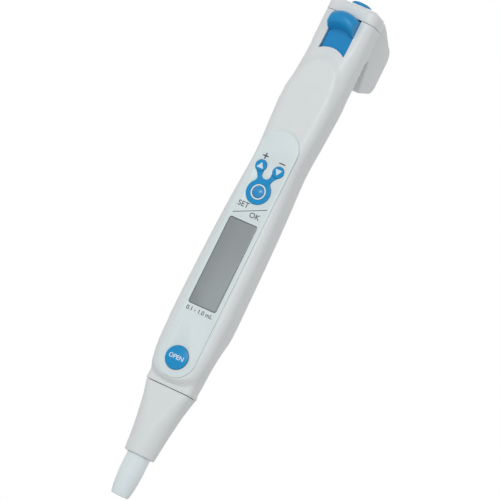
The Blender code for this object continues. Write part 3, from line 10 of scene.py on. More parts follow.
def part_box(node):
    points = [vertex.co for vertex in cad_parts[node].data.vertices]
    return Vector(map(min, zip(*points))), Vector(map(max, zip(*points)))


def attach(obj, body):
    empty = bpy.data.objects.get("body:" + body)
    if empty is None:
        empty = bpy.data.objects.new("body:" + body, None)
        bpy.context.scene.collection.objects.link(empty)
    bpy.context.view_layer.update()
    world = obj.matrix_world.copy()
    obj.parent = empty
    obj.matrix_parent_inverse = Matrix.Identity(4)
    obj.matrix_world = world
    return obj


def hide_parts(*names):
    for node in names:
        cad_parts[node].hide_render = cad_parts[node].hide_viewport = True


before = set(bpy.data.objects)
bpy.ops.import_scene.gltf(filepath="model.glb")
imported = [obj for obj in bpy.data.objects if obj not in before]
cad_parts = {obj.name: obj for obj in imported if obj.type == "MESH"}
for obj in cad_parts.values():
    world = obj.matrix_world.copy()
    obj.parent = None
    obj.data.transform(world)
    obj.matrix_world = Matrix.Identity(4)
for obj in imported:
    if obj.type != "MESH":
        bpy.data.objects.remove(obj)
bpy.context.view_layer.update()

# The studio: a white surround, a pale floor far below and two soft lamps.
# The camera stands a little below the middle, and is turned so that the pipette leans to the right.
nozzle_low, nozzle_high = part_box("nozzle")
NOZZLE_END = Vector((0, (nozzle_low.y + nozzle_high.y) / 2, nozzle_low.z))
MM = 0.001
CAMERA_AZIMUTH = math.radians(22.0)
CAMERA_ELEVATION = math.radians(-5.5)
CAMERA_LEAN = math.radians(26.2)
CAMERA_DISTANCE = 1.9
SENSOR_WIDTH = 36
PIXELS_PER_METRE = 2400
PICTURE_PIXELS = 500
AIM_HEIGHT = 115.7
AIM_SIDE = 3.65
LAMP_COLOUR = (0.95, 0.985, 1.0)
FILL_COLOUR = (0.975, 0.98, 0.98, 1)
FILL_STRENGTH = 0.56


def away(azimuth, elevation):
    """The direction from the pipette towards a camera or lamp, from angles in radians."""
    level = math.cos(elevation)
    return Vector((math.sin(azimuth) * level, -math.cos(azimuth) * level, math.sin(elevation)))


middle = NOZZLE_END + Vector((0, 0, AIM_HEIGHT * MM))
back = away(CAMERA_AZIMUTH, CAMERA_ELEVATION)
side = Vector((math.cos(CAMERA_AZIMUTH), math.sin(CAMERA_AZIMUTH), 0))
upward = back.cross(side)
lean_side = side * math.cos(CAMERA_LEAN) + upward * math.sin(CAMERA_LEAN)
lean_up = upward * math.cos(CAMERA_LEAN) - side * math.sin(CAMERA_LEAN)
camera_data = bpy.data.cameras.new("studio_camera")
camera_data.sensor_width = SENSOR_WIDTH
camera_data.lens = PIXELS_PER_METRE * SENSOR_WIDTH * CAMERA_DISTANCE / PICTURE_PIXELS
camera_data.clip_start = 0.05
camera_data.clip_end = 20
camera = bpy.data.objects.new("studio_camera", camera_data)
bpy.context.scene.collection.objects.link(camera)
stand = Matrix.Translation(middle + side * AIM_SIDE * MM + back * CAMERA_DISTANCE)
camera.matrix_world = stand @ Matrix((lean_side, lean_up, back)).transposed().to_4x4()
bpy.context.scene.camera = camera
bpy.context.scene.view_settings.view_transform = "Standard"


def softbox(name, azimuth, elevation, distance, size, power):
    """A square lamp that faces the middle of the pipette."""
    lamp = bpy.data.lights.new(name, "AREA")
    lamp.size = size
    lamp.energy = power
    lamp.color = LAMP_COLOUR
    holder = bpy.data.objects.new(name, lamp)
    bpy.context.scene.collection.objects.link(holder)
    direction = away(math.radians(azimuth), math.radians(elevation))
    holder.location = middle + direction * distance
    holder.rotation_euler = (-direction).to_track_quat("-Z", "Y").to_euler()


softbox("front_softbox", azimuth=6, elevation=18, distance=1.5, size=0.5, power=6.6)
softbox("rear_softbox", azimuth=200, elevation=25, distance=1.6, size=0.8, power=5)


class Value:
    """A shader value; operators on it add Math nodes to its own node tree."""

    def __init__(self, tree, socket):
        self.tree = tree
        self.socket = socket

    def node(self, kind, settings, inputs, output=0):
        """Another node of the same tree."""
        return add_node(self.tree, kind, settings, inputs, output)

    def maths(self, operation, *inputs):
        """A Math node."""
        return self.node("ShaderNodeMath", {"operation": operation}, dict(enumerate(inputs)))

    def __add__(self, other):
        return self.maths("ADD", self, other)

    def __radd__(self, other):
        return self.maths("ADD", other, self)

    def __sub__(self, other):
        return self.maths("SUBTRACT", self, other)

    def __rsub__(self, other):
        return self.maths("SUBTRACT", other, self)

    def __mul__(self, other):
        return self.maths("MULTIPLY", self, other)

    def __rmul__(self, other):
        return self.maths("MULTIPLY", other, self)

    def __truediv__(self, other):
        return self.maths("DIVIDE", self, other)

    def __rtruediv__(self, other):
        return self.maths("DIVIDE", other, self)

    def stretched(self, low, high):
        """0 up to low, 1 from high on and a smooth rise between them."""
        smooth = {"interpolation_type": "SMOOTHSTEP"}
        return self.node("ShaderNodeMapRange", smooth, {0: self, 1: low, 2: high})


def add_node(tree, kind, settings, inputs, output=0):
    """One node: its settings first, then the values or links of its sockets."""
    made = tree.nodes.new(kind)
    for name, value in settings.items():
        setattr(made, name, value)
    for name, value in inputs.items():
        if isinstance(value, Value):
            tree.links.new(value.socket, made.inputs[name])
        else:
            made.inputs[name].default_value = value
    return Value(tree, made.outputs[output])


world = bpy.data.worlds.new("studio_surround")
bpy.context.scene.world = world
world.use_nodes = True
sky = world.node_tree
sky.nodes.clear()
ray = add_node(sky, "ShaderNodeLightPath", {}, {}, "Is Camera Ray")
rays = ray.socket.node.outputs
seen = ray.maths("MAXIMUM", ray, Value(sky, rays["Is Glossy Ray"]))
seen = ray.maths("MAXIMUM", seen, Value(sky, rays["Is Transmission Ray"]))
fill = add_node(sky, "ShaderNodeBackground", {}, {"Color": FILL_COLOUR, "Strength": FILL_STRENGTH})
white = add_node(sky, "ShaderNodeBackground", {}, {"Color": (1, 1, 1, 1), "Strength": 1.0})
both = add_node(sky, "ShaderNodeMixShader", {}, {0: seen, 1: fill, 2: white})
sky.links.new(both.socket, sky.nodes.new("ShaderNodeOutputWorld").inputs[0])


class Finish:
    """A material with one Principled shader, and the patterns that its inputs are made of."""

    def __init__(self, name, colour, roughness, metallic=0.0, **fixed):
        self.material = bpy.data.materials.new(name)
        self.material.use_nodes = True
        self.tree = self.material.node_tree
        self.shader = self.tree.nodes["Principled BSDF"]
        self.colour = colour
        self.set(Base_Color=(*colour, 1), Roughness=roughness, Metallic=metallic, **fixed)

    def set(self, **sockets):
        """Give sockets of the shader a fixed value or a link; an underscore stands for a space."""
        for name, value in sockets.items():
            socket = self.shader.inputs[name.replace("_", " ")]
            if isinstance(value, Value):
                self.tree.links.new(value.socket, socket)
            else:
                socket.default_value = value

    def place(self, stretch=(1, 1, 1)):
        """The point on the piece in metres, stretched along its axes."""
        point = add_node(self.tree, "ShaderNodeTexCoord", {}, {}, "Object")
        return point.node("ShaderNodeVectorMath", {"operation": "MULTIPLY"}, {0: point, 1: stretch})

    def coordinate(self, axis):
        """The point's own x, y or z in metres."""
        point = self.place()
        return point.node("ShaderNodeSeparateXYZ", {}, {0: point}, axis)

    def noise(self, scale, detail=3.0, rough=0.5, stretch=(1, 1, 1)):
        """A cloudy pattern about 0.5."""
        inputs = {"Vector": self.place(stretch), "Scale": scale, "Detail": detail, "Roughness": rough}
        return add_node(self.tree, "ShaderNodeTexNoise", {}, inputs)

    def blend(self, share, first, second):
        """A colour between two, each given as three numbers or a link."""
        first, second = ((*c, 1) if isinstance(c, tuple) else c for c in (first, second))
        return add_node(self.tree, "ShaderNodeMix", {"data_type": "RGBA"}, {0: share, 6: first, 7: second}, 2)

    def bump(self, pattern, depth):
        """Relief from a pattern, with the depth in millimetres."""
        relief = {"Height": pattern, "Distance": depth * MM, "Strength": 1.0}
        self.set(Normal=add_node(self.tree, "ShaderNodeBump", {}, relief))

    def drift(self, pattern, spread):
        """Base colour that drifts about the finish's own with the pattern."""
        darker = tuple(c * (1 - spread) for c in self.colour)
        lighter = tuple(min(1.0, c * (1 + spread)) for c in self.colour)
        self.set(Base_Color=self.blend(pattern, darker, lighter))


FLOOR_DROP = 0.16
FLOOR_HALF = 3.0
floor_height = NOZZLE_END.z - FLOOR_DROP
corners = [(x * FLOOR_HALF, y * FLOOR_HALF, floor_height) for x, y in ((-1, -1), (1, -1), (1, 1), (-1, 1))]
floor_mesh = bpy.data.meshes.new("studio_floor")
floor_mesh.from_pydata(corners, [], [range(4)])
floor = bpy.data.objects.new("studio_floor", floor_mesh)
bpy.context.scene.collection.objects.link(floor)
floor_mesh.materials.append(Finish("pale_floor", (0.86, 0.87, 0.88), 0.9).material)


# The drive: a steel motor can, lead screw, rods and ground piston, with a nut, cylinder and guides of
# moulded plastic and seals of rubber. They go in from behind before the casing is closed.
def worked_metal(name, colour, roughness, along=(1, 1, 1)):
    """Drawn or turned metal: fine lines and cloudy gloss."""
    finish = Finish(name, colour, roughness, metallic=1.0)
    lines = finish.noise(2600, detail=2, stretch=along)
    cloud = finish.noise(160, rough=0.6)
    finish.drift(cloud * 0.6 + lines * 0.4, 0.10)
    finish.set(Roughness=(lines - 0.5) * 0.16 + (cloud - 0.5) * 0.10 + roughness)
    finish.bump(lines, 0.012)
    return finish.material


def moulded(name, colour, roughness, grain=0.02, **fixed):
    """Moulded plastic or rubber: a fine grain, cloudy gloss and a slight drift of the colour."""
    finish = Finish(name, colour, roughness, **fixed)
    cloud = finish.noise(85, detail=4, rough=0.6)
    fine = finish.noise(4200, detail=2)
    finish.drift(cloud, 0.03)
    finish.set(Roughness=(cloud - 0.5) * 0.12 + (fine - 0.5) * 0.08 + roughness)
    finish.bump(fine, grain)
    return finish.material


def dress(material, *names):
    """Give carried-over nodes their finish, and shade their round faces smooth."""
    for name in names:
        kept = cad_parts[name]
        kept.data.materials.clear()
        kept.data.materials.append(material)
        kept.data.polygons.foreach_set("use_smooth", [True] * len(kept.data.polygons))
        weld = kept.modifiers.new("weld", "WELD")
        weld.merge_threshold = 0.002 * MM
        crisp = kept.modifiers.new("crisp_edges", "EDGE_SPLIT")
        crisp.split_angle = math.radians(32)


GROUND_STEEL = worked_metal("ground_steel", (0.60, 0.61, 0.62), 0.24, along=(1, 1, 0.02))
PRESSED_STEEL = worked_metal("pressed_steel", (0.52, 0.53, 0.55), 0.34)
SPRING_WIRE = worked_metal("spring_wire", (0.40, 0.41, 0.43), 0.30)
dress(GROUND_STEEL, "lead_screw", "guide_rod", "push_tube", "piston", "eject_rod")
dress(PRESSED_STEEL, "drive_motor", "motor_bracket", "latch_ring", "dome_up", "dome_down", "dome_mode")
dress(SPRING_WIRE, "eject_spring", "button_spring", "release_spring")
ACETAL = moulded("natural_acetal", (0.80, 0.82, 0.81), 0.42)
dress(ACETAL, "drive_nut", "cylinder", "seal_retainer", "lower_guide")
NITRILE = moulded("black_nitrile", (0.020, 0.020, 0.021), 0.62, grain=0.04)
dress(NITRILE, "piston_seal", "nozzle_seal")


# The electronics: green glass-fibre boards with copper tracks, the display's black frame and a
# film-wrapped cell. The boards are screwed to the casing, and the cell lies behind them in the rear cover.
def circuit_board():
    """Solder mask over a square pattern of tracks."""
    roughness = 0.38
    finish = Finish("solder_mask", (0.016, 0.130, 0.058), roughness)
    point = finish.place((1, 0, 1))
    grid = {"Vector": point, "Scale": 900.0, "Mortar Size": 0.012}
    tracks = point.node("ShaderNodeTexBrick", {"offset": 0.5}, grid, 1)
    weave = finish.noise(2400, detail=2)
    finish.set(Base_Color=finish.blend(tracks, (0.014, 0.120, 0.052), (0.045, 0.210, 0.085)))
    finish.set(Roughness=(weave - 0.5) * 0.15 + roughness)
    finish.bump(tracks + weave * 0.2, 0.03)
    return finish.material


def film_wrap():
    """Shrunk film whose colour and gloss change in waves."""
    roughness = 0.32
    finish = Finish("cell_film", (0.095, 0.115, 0.160), roughness)
    waves = finish.noise(420, rough=0.55, stretch=(1, 1, 0.25))
    finish.drift(waves, 0.25)
    finish.set(Roughness=(waves - 0.5) * 0.3 + roughness)
    finish.bump(waves, 0.12)
    return finish.material


dress(circuit_board(), "main_board", "button_board")
dress(film_wrap(), "battery")
dress(moulded("black_frame", (0.028, 0.028, 0.030), 0.48), "display_module", "home_sensor")
dress(moulded("plug_nylon", (0.78, 0.79, 0.76), 0.46), "battery_plug")


# The casing: two shells of pale grey ABS with a fine satin grain, moulded and split near the back. The
# front one's raised front ends in an arch above the sleeve, and a slot at its top takes the lever.
# Sizes are millimetres, heights are from the nozzle's end, and what lies to the front is negative.
TO_FRAME = Matrix.Translation(NOZZLE_END) @ Matrix.Scale(MM, 4)
SEAM = 49.1
CASING_TOP = 221.5
FULL_HEIGHT = 230.0
WALL = 1.5
FIT = 0.3
FAR = 30.0
OVERLAP = 0.1
PARTING = 5.6
JOINT_GAP = 0.08
REAR_FOOT = 70.6
ROOT_FOOT = 209.6
ROOT_FRONT = 8.8

# Each row: height, half width, front, rear, radius of the front corners, radius of the rear corners.
CASING_ROWS = (
    (50.3, 10.6, 9.8, 7.1, 4.0, 5.4),
    (56.1, 11.2, 9.8, 7.4, 4.3, 6.4),
    (62.6, 12.2, 9.8, 7.4, 4.0, 8.6),
    (67.6, 12.6, 9.8, 7.8, 3.9, 9.0),
    (72.6, 12.75, 9.8, 9.05, 4.0, 9.0),
    (78.1, 12.95, 9.8, 10.6, 4.0, 9.0),
    (89.1, 12.95, 9.8, 10.7, 4.0, 9.0),
    (114.1, 12.55, 9.8, 10.4, 4.0, 9.0),
    (133.1, 11.87, 9.8, 10.5, 4.0, 9.0),
    (153.1, 10.8, 9.8, 10.7, 4.0, 8.8),
    (168.1, 11.55, 9.8, 10.7, 4.0, 8.8),
    (183.1, 12.3, 9.8, 10.7, 4.2, 8.8),
    (189.6, 12.0, 8.9, 11.0, 4.6, 8.8),
    (197.2, 11.8, 8.5, 11.4, 5.4, 8.8),
    (205.1, 11.8, 7.6, 11.4, 5.6, 8.8),
    (208.1, 11.8, 7.2, 11.4, 4.4, 8.8),
    (221.5, 11.7, 7.2, 11.4, 4.0, 8.8),
)


def arc(centre, radius, start, end, steps):
    """Points along an arc, from one angle in degrees to another."""
    angles = [math.radians(start + (end - start) * step / steps) for step in range(steps + 1)]
    return [(centre[0] + radius * math.cos(angle), centre[1] + radius * math.sin(angle)) for angle in angles]


def circle(centre, radius, steps):
    """Points all the way round a circle."""
    return arc(centre, radius, 0, 360 - 360 / steps, steps - 1)


def line(start, end, steps):
    """Points along a straight line, without its end."""
    return [tuple(a + (b - a) * step / steps for a, b in zip(start, end)) for step in range(steps)]


def section(row, inset=0.0):
    """A level section of the pipette: flats and round corners, anticlockwise from the middle of the front."""
    height, half, front, rear, front_corner, rear_corner = row
    half, front, rear = half - inset, front - inset, rear - inset
    front_corner, rear_corner = max(front_corner - inset, 0.8), max(rear_corner - inset, 0.8)
    right = line((0.0, -front), (half - front_corner, -front), 20)
    right += arc((half - front_corner, front_corner - front), front_corner, -90, 0, 10)[:-1]
    right += line((half, front_corner - front), (half, rear - rear_corner), 8)
    right += arc((half - rear_corner, rear - rear_corner), rear_corner, 0, 90, 12)[:-1]
    right += line((half - rear_corner, rear), (0.0, rear), 4) + [(0.0, rear)]
    ring = right + [(-x, y) for x, y in reversed(right[1:-1])]
    return [Vector((x, y, height)) for x, y in ring]


def curve(before, start, end, after, t):
    """A value on the smooth curve between start and end."""
    out, into = (end - before) / 2, (after - start) / 2
    bend = 3 * (end - start) - 2 * out - into
    return start + t * (out + t * (bend + t * (out + into - 2 * (end - start))))


def eased(rows, spacing):
    """Rows on a smooth curve through the given ones, about the spacing apart."""
    padded = [rows[0], *rows, rows[-1]]
    result = []
    for four in zip(padded, padded[1:], padded[2:], padded[3:]):
        steps = max(1, round((four[2][0] - four[1][0]) / spacing))
        result += [tuple(curve(*values, step / steps) for values in zip(*four)) for step in range(steps)]
    return result + [rows[-1]]


def smooth_step(value):
    """0 below 0, 1 above 1 and a smooth rise between them."""
    value = min(1.0, max(0.0, value))
    return value * value * (3 - 2 * value)


def within(x, z, across, along):
    """How deep a point lies inside an ellipse round the origin; negative outside it."""
    reach = math.hypot(x / across, z / along)
    return (1 - reach) * reach / math.hypot(x / across**2, z / along**2)


# The raised front's lower end is half an ellipse that grows towards the back, as the chin slopes down there.
CHIN_CENTRE = 62.6
CHIN_HALF = 11.4
CHIN_DROP = 10.0
CHIN_FRONT = -12.5
CHIN_SLOPE = 14.3
CHIN_DEPTH = 27.0
CHIN_START = 1.4
CHIN_WIDENING = 0.75
CHIN_EDGE = 0.1
CHIN_FALL = 2.2


def chin_share(point, inset):
    """How much of a point belongs to the raised front, from 0 outside its arched lower end to 1 inside."""
    drop = CHIN_CENTRE - point.z
    if drop <= 0:
        return 1.0
    grow = (point.y - CHIN_FRONT) * CHIN_SLOPE / CHIN_DEPTH - CHIN_START
    depth = within(point.x, drop, CHIN_HALF + grow * CHIN_WIDENING, CHIN_DROP + grow)
    return smooth_step((depth - inset + CHIN_FALL) / (CHIN_FALL + CHIN_EDGE))


SHOULDER_CENTRE = 180.0
SHOULDER_HALF = 11.6
SHOULDER_RISE = 21.5
SHOULDER_STEP = 0.8
SHOULDER_SOFT = 1.2


def shoulder_share(point):
    """How much of a point belongs to the grip's front, which ends in a soft arch below the lever's slot."""
    rise = point.z - SHOULDER_CENTRE
    if rise <= 0:
        return 1.0
    depth = within(point.x, rise, SHOULDER_HALF, SHOULDER_RISE)
    return smooth_step((depth + SHOULDER_SOFT) / (2 * SHOULDER_SOFT))


NECK = (10.9, 6.4, 7.4, 2.6, 5.0)
NECK_TAPER = 0.027
NECK_PLAIN = 0.5
NECK_BLEND = 2.4


def casing_ring(row, inset=0.0):
    """A section of the casing: the full form between its two arches, and plain below and above them."""
    height, half, front, *rest = row
    full = section(row, inset)
    if height > SHOULDER_CENTRE:
        plain = section((height, half, front - SHOULDER_STEP, *rest), inset)
        return [low.lerp(high, shoulder_share(high)) for low, high in zip(plain, full)]
    taper = (height - SEAM) * NECK_TAPER
    neck_half, neck_front, neck_rear, *neck_corners = NECK
    plain = section((height, neck_half - taper, neck_front, neck_rear - taper, *neck_corners), inset)
    above = smooth_step((height - SEAM - NECK_PLAIN) / NECK_BLEND)
    return [low.lerp(high, above * chin_share(high, inset)) for low, high in zip(plain, full)]


def form_of(build):
    """A loose form, drawn in millimetres up from the nozzle's end."""
    bmesh.ops.recalc_face_normals(build, faces=build.faces)
    mesh = bpy.data.meshes.new("form")
    build.to_mesh(mesh)
    build.free()
    form = bpy.data.objects.new("form", mesh)
    bpy.context.scene.collection.objects.link(form)
    return form


def loft(rings):
    """Skin rings that have the same number of points, and close both ends."""
    build = bmesh.new()
    rows = [[build.verts.new(point) for point in ring] for ring in rings]
    for low, high in zip(rows, rows[1:]):
        for index, corner in enumerate(low):
            following = (index + 1) % len(low)
            build.faces.new((corner, low[following], high[following], high[index]))
    build.faces.new(reversed(rows[0]))
    build.faces.new(rows[-1])
    return form_of(build)


def plate(outline, front, rear):
    """A flat outline of (x, z) points, from one depth to another."""
    return loft([[(x, y, z) for x, z in outline] for y in (front, rear)])


def slab(low, high):
    """A box between two opposite corners."""
    x, z = (low[0], high[0]), (low[2], high[2])
    return plate(((x[0], z[0]), (x[1], z[0]), (x[1], z[1]), (x[0], z[1])), low[1], high[1])


def bar(radius, x, z, front, rear, steps=40):
    """A round bar along the depth."""
    return plate(circle((x, z), radius, steps), front, rear)


def upright(radius, x, y, low, high, steps=40):
    """A round bar along the height."""
    points = circle((x, y), radius, steps)
    return loft([[(across, deep, z) for across, deep in points] for z in (low, high)])


def copy_of(form):
    """A second form with its own mesh."""
    twin = form.copy()
    twin.data = form.data.copy()
    bpy.context.scene.collection.objects.link(twin)
    return twin


def settle(form):
    """Take what a form's modifiers give as the form."""
    bpy.context.view_layer.update()
    mesh = bpy.data.meshes.new_from_object(form.evaluated_get(bpy.context.evaluated_depsgraph_get()))
    form.modifiers.clear()
    form.data = mesh


def work(form, operation, *tools):
    """Cut tools out of a form, join them to it, or keep what lies inside them."""
    for tool in tools:
        step = form.modifiers.new(operation.lower(), "BOOLEAN")
        step.operation = operation
        step.solver = "EXACT"
        step.object = tool
    settle(form)
    for tool in tools:
        bpy.data.objects.remove(tool)
    return form


def soften(form, width, segments=2, angle=35):
    """Round the edges that turn more sharply than the angle."""
    bevel = form.modifiers.new("soft_edges", "BEVEL")
    bevel.width = width
    bevel.segments = segments
    bevel.limit_method = "ANGLE"
    bevel.angle_limit = math.radians(angle)
    settle(form)
    return form


MERGE_REACH = 0.0005


def show(form, name, material, body="casing", node=None, crease=30):
    """Make a form a named piece that rides on a body and can stand for a CAD node."""
    form.modifiers.new("weld", "WELD").merge_threshold = MERGE_REACH
    settle(form)
    form.name = name
    form.data.name = name
    form.data.transform(TO_FRAME)
    form.data.materials.clear()
    form.data.materials.append(material)
    form.data.shade_smooth()
    form.data.set_sharp_from_angle(angle=math.radians(crease))
    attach(form, body)
    if node:
        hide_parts(node)
    return form


def rimmed(rows, low_round, high_round):
    """Rows and insets that round off the lower and upper rims of a stack of rows."""
    quarter = ((1.0, 0.0), (0.3, 0.3), (0.0, 1.0))
    foot, top = rows[0], rows[-1]
    stack = [((foot[0] + low_round * rise, *foot[1:]), low_round * inset) for inset, rise in quarter]
    stack += [(row, 0.0) for row in rows if foot[0] + low_round < row[0] < top[0] - high_round]
    for inset, rise in reversed(quarter):
        stack.append(((top[0] - high_round * rise, *top[1:]), high_round * inset))
    return stack


PANEL_HALF = 8.7
PANEL_LOW = 61.5
PANEL_HIGH = 157.4
PANEL_FACE = -10.3
PANEL_BACK = -9.2
POCKET_CUT = (-12.3, -8.9)
POCKET_PLAY = 0.05


def panel_outline(grow):
    """The front panel's outline: straight sides and round ends."""
    radius = PANEL_HALF + grow
    return arc((0.0, PANEL_LOW), radius, 180, 360, 48) + arc((0.0, PANEL_HIGH), radius, 0, 180, 48)


SLOT_HALF = 6.15
SLOT_SILL = 204.2
SLOT_ARCH = 2.2
SLOT_TOP = 224.0
SLOT_CUT = (-14.8, -2.4)


def slot_outline():
    """The lever's slot: an arched sill and an open top."""
    radius = (SLOT_HALF * SLOT_HALF + SLOT_ARCH * SLOT_ARCH) / (2 * SLOT_ARCH)
    spread = math.degrees(math.asin(SLOT_HALF / radius))
    sill = arc((0.0, SLOT_SILL + SLOT_ARCH - radius), radius, 90 + spread, 90 - spread, 24)
    return sill + [(SLOT_HALF, SLOT_TOP), (-SLOT_HALF, SLOT_TOP)]


CONTACT_SIDE = 2.2
CONTACT_HEIGHT = 173.1
CONTACT_SLOT = (1.25, 3.15)
CONTACT_CUT = (8.6, 12.0)


def contact_slots():
    """Tools for the two slots that the charging pads are pressed into."""
    half, rise = CONTACT_SLOT
    front, rear = CONTACT_CUT
    for x in (-CONTACT_SIDE, CONTACT_SIDE):
        yield slab((x - half, front, CONTACT_HEIGHT - rise), (x + half, rear, CONTACT_HEIGHT + rise))


CASING_PLASTIC = moulded("casing_plastic", (0.735, 0.755, 0.755), 0.40)

# The rows that cross the chin's arch lie closer together than the rest.
foot_row = (SEAM, *CASING_ROWS[0][1:])
chin_rows = eased(CASING_ROWS[:4], spacing=0.28)[:-1]
fine_rows = [foot_row, *chin_rows, *eased(CASING_ROWS[3:], spacing=1.4)]
outside = loft([casing_ring(row, inset) for row, inset in rimmed(fine_rows, 0.15, 0.12)])
hollow_rows = [(SEAM - 1.0, *foot_row[1:]), *eased(CASING_ROWS, spacing=2.5)]
hollow_rows.append((CASING_TOP + 1.0, *CASING_ROWS[-1][1:]))
shell = work(copy_of(outside), "DIFFERENCE", loft([casing_ring(row, WALL) for row in hollow_rows]))

DISPLAY_HALF = 6.8
DISPLAY_LOW = 84.4
DISPLAY_HIGH = 124.5
DISPLAY_LEDGE = 0.4
KEY_SIDE = 4.15
KEY_HEIGHT = 148.7
MODE_HEIGHT = 138.0
RELEASE_HEIGHT = 61.3
STEM_HOLE = 1.4
RELEASE_HOLE = 2.95
WALL_CUT = (-10.8, -5.8)
display_half = DISPLAY_HALF - DISPLAY_LEDGE
display_low, display_high = DISPLAY_LOW + DISPLAY_LEDGE, DISPLAY_HIGH - DISPLAY_LEDGE
front_casing = work(
    copy_of(shell),
    "DIFFERENCE",
    slab((-FAR, PARTING, REAR_FOOT), (FAR, FAR, ROOT_FOOT - FIT + OVERLAP)),
    slab((-FAR, ROOT_FRONT - FIT, ROOT_FOOT - FIT - OVERLAP), (FAR, FAR, FULL_HEIGHT)),
    plate(slot_outline(), *SLOT_CUT),
    plate(panel_outline(POCKET_PLAY), *POCKET_CUT),
    slab((-display_half, WALL_CUT[0], display_low), (display_half, WALL_CUT[1], display_high)),
    bar(STEM_HOLE, -KEY_SIDE, KEY_HEIGHT, *WALL_CUT),
    bar(STEM_HOLE, KEY_SIDE, KEY_HEIGHT, *WALL_CUT),
    bar(STEM_HOLE, 0.0, MODE_HEIGHT, *WALL_CUT),
    bar(RELEASE_HOLE, 0.0, RELEASE_HEIGHT, *WALL_CUT, 56),
)

SCREWS = ((-6.9, 82.0), (-6.9, 152.9), (0.0, 190.8))
SCREW_HOLE = 1.15
SCREW_CUT = (0.0, 10.7)
PILLAR = 1.9
PILLAR_FRONT = -8.6
PILLAR_GAP = 0.05
BOSS = 2.8
BOSS_REAR = 12.7
HEAD_RECESS = 2.2
HEAD_CUT = (7.4, 14.7)
work(front_casing, "UNION", *(bar(PILLAR, x, z, PILLAR_FRONT, PARTING - PILLAR_GAP) for x, z in SCREWS))
work(front_casing, "DIFFERENCE", *(bar(SCREW_HOLE, x, z, *SCREW_CUT) for x, z in SCREWS))
show(soften(front_casing, 0.14), "front_casing", CASING_PLASTIC, "casing", "front_shell")

cover_front = PARTING + JOINT_GAP
rear_cover = work(shell, "INTERSECT", slab((-FAR, cover_front, REAR_FOOT + FIT), (FAR, FAR, ROOT_FOOT - FIT)))
for x, z in SCREWS:
    boss = work(bar(BOSS, x, z, cover_front, BOSS_REAR), "INTERSECT", copy_of(outside))
    work(rear_cover, "UNION", boss)
work(rear_cover, "DIFFERENCE", *(bar(HEAD_RECESS, x, z, *HEAD_CUT) for x, z in SCREWS))
work(rear_cover, "DIFFERENCE", *(bar(SCREW_HOLE, x, z, *SCREW_CUT) for x, z in SCREWS), *contact_slots())
show(soften(rear_cover, 0.14), "rear_cover", CASING_PLASTIC, "casing", "rear_shell")


# The fasteners and charging pads: three zinc-plated screws driven from behind, and two gold-coloured pads.
# The screws pull the rear cover against the front casing's pillars; the pads are pressed through the cover.
dress(worked_metal("zinc_plate", (0.58, 0.59, 0.60), 0.30), "case_screw_1", "case_screw_2", "case_screw_3")
dress(worked_metal("gold_plate", (0.83, 0.60, 0.24), 0.26), "charge_contact_left", "charge_contact_right")


# The front panel: a pale blue-grey moulding with round ends that is glued into a recess of the front casing.
# It has openings for the display window, the keys and the release button, and thin printed legends.
BEZEL_RADIUS = 5.4
BEZEL_NECK = (
    (3.72, 141.9),
    (3.28, 142.6),
    (3.18, 143.3),
    (3.42, 144.1),
    (4.0, 145.0),
    (4.75, 145.9),
    (5.30, 146.7),
)


def rounded_box(half, low, high, radius, steps=8):
    """An upright rectangle with round corners."""
    points = arc((half - radius, low + radius), radius, -90, 0, steps)
    points += arc((half - radius, high - radius), radius, 0, 90, steps)
    points += arc((radius - half, high - radius), radius, 90, 180, steps)
    return points + arc((radius - half, low + radius), radius, 180, 270, steps)


def bezel_outline(grow):
    """The key bezel: a disc with two necks that curve up and outwards to the arrow keys."""
    right = arc((0.0, MODE_HEIGHT), BEZEL_RADIUS + grow, -90, 33, 30)
    right += [(x + grow, z) for x, z in BEZEL_NECK]
    right += [(4.4, KEY_HEIGHT), (2.4, 148.0)]
    right += arc((0.0, 145.9), 2.1 - grow, 20, -90, 14)
    return right + [(-x, z) for x, z in reversed(right[1:-1])]


def key_bars(radius, front, rear):
    """Tools for the two arrow keys' round openings."""
    for x in (-KEY_SIDE, KEY_SIDE):
        yield bar(radius, x, KEY_HEIGHT, front, rear, 64)


PANEL_PLASTIC = moulded("panel_plastic", (0.715, 0.785, 0.790), 0.34, grain=0.012)
PANEL_RIM = ((PANEL_BACK, 0.0), (-10.14, 0.0), (-10.22, -0.02), (-10.28, -0.08), (PANEL_FACE, -0.17))
PANEL_CUT = (-12.0, -8.0)
KEY_OPENING = 2.65
RELEASE_OPENING = 5.25
panel = loft([[(x, y, z) for x, z in panel_outline(grow)] for y, grow in PANEL_RIM])
work(
    panel,
    "DIFFERENCE",
    plate(rounded_box(DISPLAY_HALF, DISPLAY_LOW, DISPLAY_HIGH, 1.0), *PANEL_CUT),
    plate(bezel_outline(0.15), -12.0, -9.8),
    bar(RELEASE_OPENING, 0.0, RELEASE_HEIGHT, *PANEL_CUT, 72),
    bar(STEM_HOLE, 0.0, MODE_HEIGHT, *PANEL_CUT),
    *key_bars(KEY_OPENING, *PANEL_CUT),
)
show(soften(panel, 0.10, 2, 50), "front_fascia", PANEL_PLASTIC, "casing", "front_panel")


